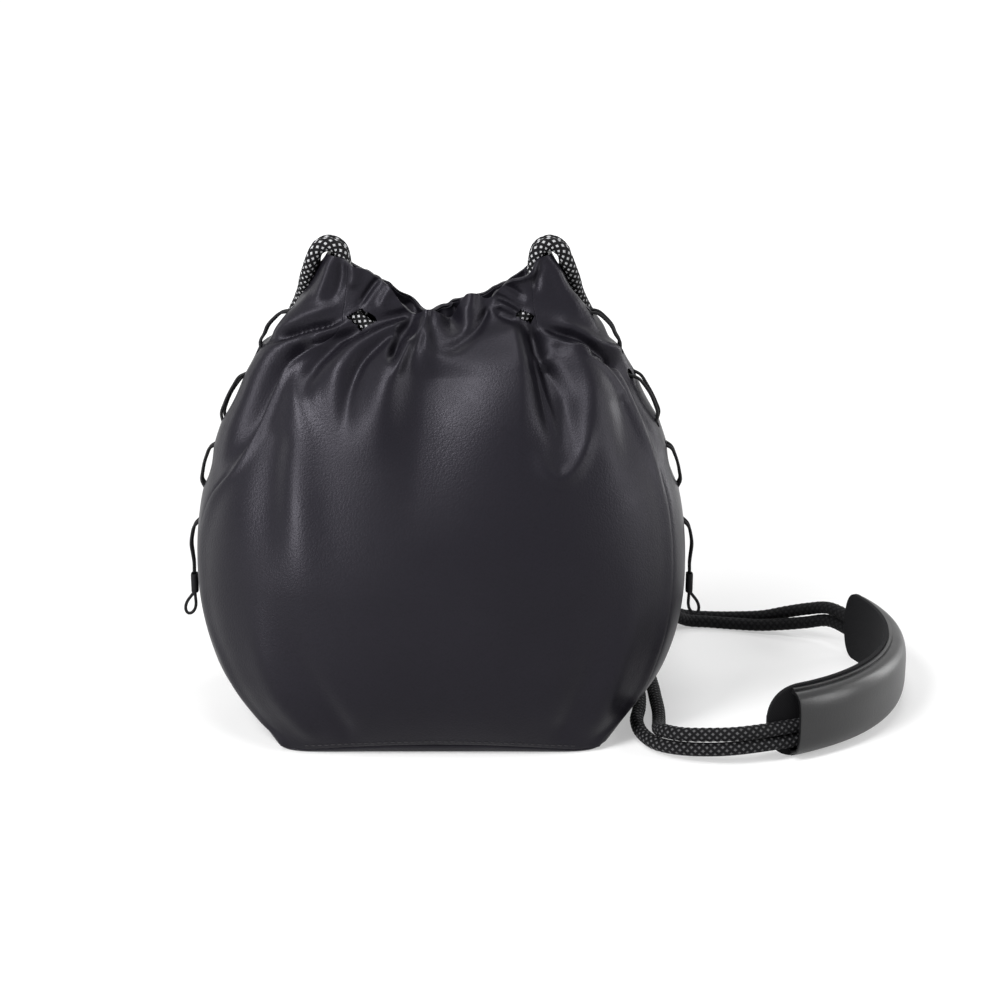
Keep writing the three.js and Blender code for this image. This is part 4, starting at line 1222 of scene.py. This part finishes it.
UPPER_FLOOR = [
    (133.3, -71.7, 14.7), (119.5, -66.8, 13), (111.8, -58, 11), (109.8, -46, 7), (111, -30, 4),
    (111.8, -14, 3.6), (111.5, 4, 3.6), (111.2, 20, 3.6), (109.5, 42, 3.6), (103, 64, 3.6),
    (91, 81, 3.6), (74, 89, 3.6), (52, 92, 3.6), (28, 92.5, 3.6), (2, 92, 3.6), (-24, 92, 3.6),
    (-48, 93, 3.6), (-70, 95.5, 3.6), (-88, 97, 4.6), (-100, 92.5, 11), (-104, 83, 24),
    (-103.5, 71, 42), (-101, 63, 66), (-99, 59.8, 90),
]
PAD_CENTRE = (132, 31)
PAD_NEAR, PAD_FAR = -66.5, 24.5


def pad_point(radius, degrees, z):
    """Points at a radius and angle about the pad's own centre."""
    angle = np.radians(degrees)
    x = PAD_CENTRE[0] + radius * np.cos(angle)
    y = PAD_CENTRE[1] + radius * np.sin(angle)
    return np.stack(np.broadcast_arrays(x, y, z), -1).astype(float)


def pad_rope(rise, radius):
    """Rope places through the pad and a little beyond both ends, rising towards the far end."""
    angles = np.arange(38, -82, -11.0)
    angles[-1] = -81
    share = (angles - PAD_NEAR) / (PAD_FAR - PAD_NEAR)
    return [tuple(p) for p in pad_point(radius, angles, mix(9.2, 12.8, share) + rise)]


def channel_route(outline, side):
    """Middle of the rope in its channel, behind the leather."""
    x = np.array([-38, -30, -20, -10, 0, 10, 20, 30, 38], float)
    points = outline.face(x, outline.channel(x), side)
    inset = 5.1 + 2.9 * smooth((38 - np.abs(x)) / 14)
    return [tuple(p) for p in points - outline.outward(points) * inset[:, None]]


def rope_stretches(outline, pad_radius):
    """The ring of rope as four stretches by name, each with its points in order."""
    radius = pad_radius + 2 + 4.1
    lower = OUTER_BACK + OUTER_RIGHT_FLOOR + pad_rope(0, radius) + LOWER_FLOOR
    upper = INNER_BACK + INNER_RIGHT_FLOOR + pad_rope(7.5, radius) + UPPER_FLOOR
    return [
        ("front_mouth_rope", mirrored(EAR_FRONT) + channel_route(outline, FRONT) + EAR_FRONT),
        ("strap_rope_a", lower + mirrored(INNER_BACK)),
        ("back_mouth_rope", mirrored(EAR_BACK) + channel_route(outline, BACK) + EAR_BACK),
        ("strap_rope_b", upper + mirrored(OUTER_BACK)),
    ]


def rope_lines(outline, pad_radius):
    """Even centrelines of the four stretches, cut from one closed curve half way between their points."""
    stretches = rope_stretches(outline, pad_radius)
    steps = 24
    ring = through(np.array([p for _, points in stretches for p in points], float), steps, closed=True)
    lines, first = {}, 0
    for name, points in stretches:
        begin = int((first - 0.5) * steps)
        index = np.arange(begin, begin + len(points) * steps + 1) % len(ring)
        lines[name] = evenly(ring[index], 0.62)
        first += len(points)
    return lines


def painted_light_along(name, line):
    """Painted light and shade on the light yarn: full up at the ears, less along the floor, least on the far
    part.
    """
    along = arc_lengths(line) / arc_lengths(line)[-1]
    if "mouth" in name:
        return np.ones(len(line))
    floor = mix(0.015, 0.2, smooth((along - 0.4) / 0.1))
    return mix(floor, 1.0, smooth((line[:, 2] - 110) / 80))


class POUCH_OT_ropes(bpy.types.Operator):
    """Builds the rope ring: two stretches in the mouth's channel and the two strands of the strap"""

    bl_idname = "pouch.ropes"
    bl_label = "Ropes"

    def execute(self, context):
        outline, _ = bag_surface(context.scene)
        rope, finish = context.scene.pouch_rope, context.scene.pouch_finish
        material = rope_material("Braided rope", finish.rope, finish.fleck)
        radius = rope.rope_diameter / MM / 2

        def relief(turn, along):
            one = BRAID_STRANDS * turn + along / BRAID_PITCH
            two = BRAID_STRANDS * turn - along / BRAID_PITCH
            return -0.02 - 0.02 * (np.cos(2 * np.pi * one) + np.cos(2 * np.pi * two))

        start = 0.0
        for name, line in rope_lines(outline, rope.pad_radius / MM).items():
            # The fleck values are painted light and shade along the rope, not a change in the yarn.
            values = {"fleck": painted_light_along(name, line)}
            obj = tube_object(f"braided_{name}", line, radius, ROPE_SIDES, material, relief, start, values)
            place(obj, "bag", "rope", name)
            start += arc_lengths(line)[-1]
        return {"FINISHED"}


def lace_half(outline, leather, side, row, radius):
    """Half of a side lace, from just above the sleeve up its own row of holes to the top one."""
    shell = outline.leather

    def on_flank(y, z, height):
        return leather.raised(outline.flank(np.array([y]), np.array([z]), side), np.array([height]))[0]

    inside = -(shell + 0.9 + radius)
    row_y = row * LACE_ROW_HALF
    points = [np.array([side * SLEEVE_X, row * LACE_LEG_HALF, LACE_END])]
    for number, (low, high) in enumerate(LACE_ARCS):
        hangs = number == 0
        if not hangs:
            points.append(on_flank(row_y, low, -shell / 2))
        for share in (0.14, 0.32, 0.5, 0.68, 0.86):
            height = radius + 0.3 + (2.6 if hangs else 1.5) * math.sin(math.pi * share)
            together = 1 - 0.62 * math.sin(math.pi * share)
            y = mix(row * LACE_LEG_HALF, row_y, float(smooth(share))) if hangs else row_y * together
            point = on_flank(y, low + (high - low) * share, height)
            if hangs:
                point[0] = mix(point[0], side * SLEEVE_X, 1 - float(smooth(share / 0.5)))
            points.append(point)
        points.append(on_flank(row_y, high, -shell / 2))
        points.append(on_flank(row_y, high + 3.9, inside))
        if number + 1 < len(LACE_ARCS):
            points.append(on_flank(row_y, LACE_ARCS[number + 1][0] - 3.9, inside))
    points.append(on_flank(0.7 * row_y, LACE_ARCS[-1][1] + 5.5, inside))
    return points


def sleeve_grid(x_middle, radius):
    """A flat tube under the two lace ends: the wall's rounded section carried round a stadium."""
    turn = np.linspace(0, 2 * np.pi, 40, endpoint=False)[None, :]
    wall = np.linspace(0, 2 * np.pi, 32, endpoint=False)[:, None]
    out = 0.3 * np.sign(np.cos(wall)) * np.abs(np.cos(wall)) ** 0.6
    height = SLEEVE_HALF * np.sign(np.sin(wall)) * np.abs(np.sin(wall)) ** 0.25
    reach = radius + 0.75 + out
    x = x_middle + reach * np.cos(turn)
    y = reach * np.sin(turn) + LACE_LEG_HALF * np.tanh(4 * np.sin(turn))
    z = SLEEVE_MIDDLE + height + 0 * turn
    return np.stack([x, y, z], -1)


# One leg of the pull loop: its place across as a share of the half width, its leg's share, and the way down
LOOP_LEG = [
    (0, 1, -3), (0, 1, -0.5), (0.42, 0.95, 2.75), (0.88, 0.6, 6.25), (0.95, 0.25, 9.25), (0.55, 0.08, 11.75),
]
LOOP_HALF_WIDTH, LOOP_LENGTH, LOOP_TILT = 2.6, 12.5, 0.32


def loop_line(side):
    """Pull loop: a drop of lace whose two legs go up into the sleeve, tilted away from the bag."""

    def spot(across, leg, down, sign):
        tilt = LOOP_TILT if down > 0 else 0
        lateral = sign * across * LOOP_HALF_WIDTH
        return (
            side * (SLEEVE_X + down * math.sin(tilt) + lateral * math.cos(tilt)),
            sign * leg * LACE_LEG_HALF,
            SLEEVE_MIDDLE - SLEEVE_HALF - down * math.cos(tilt) + lateral * math.sin(tilt),
        )

    tip = [spot(0, 0, LOOP_LENGTH, 1)]
    return np.array([spot(*p, 1) for p in LOOP_LEG] + tip + [spot(*p, -1) for p in reversed(LOOP_LEG)])


class POUCH_OT_laces(bpy.types.Operator):
    """Builds the side laces, the sleeves under their ends and the pull loops"""

    bl_idname = "pouch.laces"
    bl_label = "Laces"

    def execute(self, context):
        outline, leather = bag_surface(context.scene)
        rope, finish = context.scene.pouch_rope, context.scene.pouch_finish
        material = thread_material("Lace", finish.lace)
        sleeve_material = thread_material("Lace sleeve", finish.lace)
        radius = rope.lace_diameter / MM / 2
        for word, side in (("left", LEFT), ("right", RIGHT)):
            one, two = (lace_half(outline, leather, side, row, radius) for row in (1, -1))
            line = evenly(through(np.array(one + two[::-1]), 16), 0.7)
            lace = tube_object(f"round_{word}_lace", line, radius, LACE_SIDES, material)
            place(lace, "bag", "lace", f"{word}_lace")
            grid = sleeve_grid(side * SLEEVE_X, radius)
            sleeve = grid_object(f"shrunk_{word}_lace_sleeve", grid, sleeve_material, around=True, along=True)
            place(sleeve, f"{word}_pull", "lace", f"{word}_lace_sleeve")
            line = evenly(through(loop_line(side), 12), 0.4)
            loop = tube_object(f"round_{word}_pull_loop", line, radius, LOOP_SIDES, material)
            place(loop, f"{word}_pull", "lace", f"{word}_pull_loop")
        return {"FINISHED"}


PAD_TUNNEL_HALF = 14.8
PAD_SEAM = 15.2
PAD_FLANGE = 1.8


def pad_cover_radius(offset, back, bulge):
    """Outer radius of the cover over a place across its height: flat flanges, then a rounded tunnel."""
    share = np.clip(np.abs(offset) / PAD_TUNNEL_HALF, 0, 1)
    groove = 0.55 * np.exp(-(((np.abs(offset) - PAD_SEAM) / 0.7) ** 2))
    return back + PAD_FLANGE + (bulge - PAD_FLANGE) * (1 - share**3.4) ** (1 / 3.4) - groove


class POUCH_OT_pad(bpy.types.Operator):
    """Builds the shoulder pad: a leather cover over the ropes, sewn to a soft lining"""

    bl_idname = "pouch.pad"
    bl_label = "Shoulder pad"

    def execute(self, context):
        rope, finish = context.scene.pouch_rope, context.scene.pouch_finish
        inner = rope.pad_radius / MM
        half = rope.pad_cover_height / MM / 2
        middle = rope.pad_height / MM / 2
        back = inner + 2.3
        bulge = rope.pad_bulge / MM
        turn = np.linspace(0, np.pi, 90)
        offset = -np.cos(turn)[:, None] * half * 0.35 + np.linspace(-half, half, 90)[:, None] * 0.65
        degrees = np.linspace(PAD_NEAR, PAD_FAR, 220)[None, :]
        grid = pad_point(pad_cover_radius(offset, back, bulge), degrees, middle + offset)
        colour, roughness = finish.pad_leather, finish.pad_roughness
        material = leather_material("Pad leather", colour, roughness, (1, 1, 1), 0.00008, 0.5)
        cover = grid_object("leather_pad_cover", grid, material, flip=True)
        place(thicken(cover, PAD_FLANGE, rim=0.0006), "shoulder_pad", "pad_leather", "pad_cover")

        columns, rows = 260, 24
        share = np.sin(np.pi / 2 * np.linspace(-1, 1, columns))[None, :]
        cover_half = (PAD_FAR - PAD_NEAR) / 2
        tongue = np.where(share < 0, 7, 3.6)
        offset = share * (cover_half + tongue)
        past = np.clip((np.abs(offset) - cover_half + tongue / 2) / (1.5 * tongue), 0, 0.99)
        height = middle * (1 - past**2.4) ** (1 / 2.4) * np.linspace(-1, 1, rows)[:, None]
        angle = (PAD_NEAR + PAD_FAR) / 2 + offset
        grid = pad_point(inner + 2 + 0 * height, angle + 0 * height, middle + height)
        soft = woven_material("Pad lining", finish.pad_lining, 4200.0, 0.85)
        lining = grid_object("soft_pad_lining", grid, soft, flip=True)
        place(thicken(lining, 2, rim=0.0007), "shoulder_pad", "pad_lining", "pad_lining")

        thread = thread_material("Sewing thread", finish.thread)
        angles = np.arange(PAD_NEAR + 1.4, PAD_FAR - 1, 1.75)
        c, s = np.cos(np.radians(angles)), np.sin(np.radians(angles))
        ahead, outward = np.stack([-s, c, 0 * c], -1), np.stack([c, s, 0 * c], -1)
        for word, edge in (("lower", -PAD_SEAM), ("upper", PAD_SEAM)):
            radius = float(pad_cover_radius(np.array(edge), back, bulge)) + 0.08
            seats = pad_point(radius, angles, middle + edge)
            stitches = pills(f"stitches_pad_{word}", seats, ahead, outward, 2.4, 0.6, 0.5, thread)
            place(stitches, "shoulder_pad", "pad_leather")
        return {"FINISHED"}


# Stage: floor, camera and light


def seen_directly(tree):
    """One for rays from the camera and for mirrored or refracted ones, so that they meet the same white."""
    path = tree.add("ShaderNodeLightPath").outputs
    mirrored_too = tree.maths("MAXIMUM", path["Is Camera Ray"], path["Is Glossy Ray"])
    return tree.maths("MAXIMUM", mirrored_too, path["Is Transmission Ray"])


def floor_material():
    """Matt white floor that also glows for direct and mirrored rays, less near the bag and its shadows."""

    def build(tree, shader):
        shader.inputs["Base Color"].default_value = (0.6, 0.6, 0.6, 1)
        shader.inputs["Roughness"].default_value = 0.9
        shader.inputs["Specular IOR Level"].default_value = 0.1
        far = tree.add("ShaderNodeVectorMath", {0: tree.own_place()}, operation="LENGTH").outputs["Value"]
        seen = seen_directly(tree)
        glow = tree.ramp(far, 0.25, 1.5, 0.4, 1.0)
        tree.put(shader.inputs["Emission Color"], (1.0, 1.0, 1.0))
        tree.put(shader.inputs["Emission Strength"], tree.maths("MULTIPLY", seen, glow))

    return new_material("White floor", build)


# Lamps: sizes in metres, shares of the key light's power, places, and what they point at
LAMPS = [
    ("Upper left softbox", (0.42, 0.38), 1.0, (-0.6, -0.8, 1.2), (0, 0, 0.15)),
    ("Left softbox", (0.36, 0.7), 0.9, (-0.9, -0.92, 0.42), (0, 0, 0.12)),
    ("Right softbox", (0.3, 0.7), 0.4, (1.25, -0.35, 0.45), (0.05, 0, 0.12)),
    ("Top softbox", (0.5, 0.35), 0.4, (0.1, -0.4, 1.4), (0.03, 0, 0.2)),
    ("Rear softbox", (1.0, 0.5), 0.3, (0.1, 0.9, 1.2), (0, 0, 0.1)),
    ("Right rim light", (0.3, 0.8), 0.4, (1.15, 0.5, 0.3), (0, 0, 0.1)),
    ("Left rim light", (0.3, 0.8), 0.16, (-1.2, 0.4, 0.3), (0, 0, 0.1)),
]


def area_lamp(name, size, power, place_at, target):
    data = bpy.data.lights.new(name, "AREA")
    data.shape = "RECTANGLE"
    data.size, data.size_y = size
    data.energy = power
    lamp = bpy.data.objects.new(name, data)
    bpy.context.scene.collection.objects.link(lamp)
    lamp.location = place_at
    lamp.rotation_euler = (Vector(target) - Vector(place_at)).to_track_quat("-Z", "Y").to_euler()


class POUCH_OT_stage(bpy.types.Operator):
    """Builds the camera, the white floor, the surrounding light and the lamps"""

    bl_idname = "pouch.stage"
    bl_label = "Stage"

    def execute(self, context):
        scene = context.scene
        view = scene.pouch_view
        data = bpy.data.cameras.new("Camera")
        data.sensor_width = 36
        data.lens = data.sensor_width * view.focal_share
        data.clip_start, data.clip_end = 0.05, 100
        camera = bpy.data.objects.new("Camera", data)
        scene.collection.objects.link(camera)
        camera.location = (view.camera_x, -view.camera_back, view.camera_height)
        camera.rotation_euler = (math.radians(90 - view.camera_pitch), 0, 0)
        scene.camera = camera

        corners = np.array([(-12, -8, 0), (12, -8, 0), (12, 30, 0), (-12, 30, 0)]) / MM
        floor = new_object("floor", corners, np.array([[0, 1, 2, 3]]), floor_material())

        world = bpy.data.worlds.new("Studio")
        scene.world = world
        world.use_nodes = True
        tree = Tree(world.node_tree)
        shader = world.node_tree.nodes["Background"]
        tree.put(shader.inputs["Strength"], tree.ramp(seen_directly(tree), 0, 1, view.surround, 1.0))
        tree.put(shader.inputs["Color"], (1.0, 1.0, 1.0))
        for name, size, share, spot, target in LAMPS:
            area_lamp(name, size, view.key * share, spot, target)
        scene.view_settings.view_transform = "Standard"
        return {"FINISHED"}


class POUCH_PT_panel(bpy.types.Panel):
    """Lists the pieces of the pouch in build order"""

    bl_label = "Drawstring pouch"
    bl_idname = "POUCH_PT_panel"
    bl_space_type = "VIEW_3D"
    bl_region_type = "UI"
    bl_category = "Pouch"

    def draw(self, context):
        for operator in OPERATORS:
            self.layout.operator(operator.bl_idname)
        for name, group in SETTINGS.items():
            box = self.layout.box()
            for key in group.__annotations__:
                box.prop(getattr(context.scene, name), key)


OPERATORS = [
    POUCH_OT_stage, POUCH_OT_ropes, POUCH_OT_leather, POUCH_OT_base, POUCH_OT_lining, POUCH_OT_laces,
    POUCH_OT_pad,
]
CLASSES = [*SETTINGS.values(), *OPERATORS, POUCH_PT_panel]


def register():
    for item in CLASSES:
        bpy.utils.register_class(item)
    for name, group in SETTINGS.items():
        setattr(bpy.types.Scene, name, bpy.props.PointerProperty(type=group))


def unregister():
    for name in SETTINGS:
        delattr(bpy.types.Scene, name)
    for item in reversed(CLASSES):
        bpy.utils.unregister_class(item)


def main():
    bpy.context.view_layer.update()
    register()
    bpy.ops.pouch.stage()
    bpy.ops.pouch.ropes()
    bpy.ops.pouch.leather()
    bpy.ops.pouch.base()
    bpy.ops.pouch.lining()
    bpy.ops.pouch.laces()
    bpy.ops.pouch.pad()


if __name__ == "__main__":
    main()
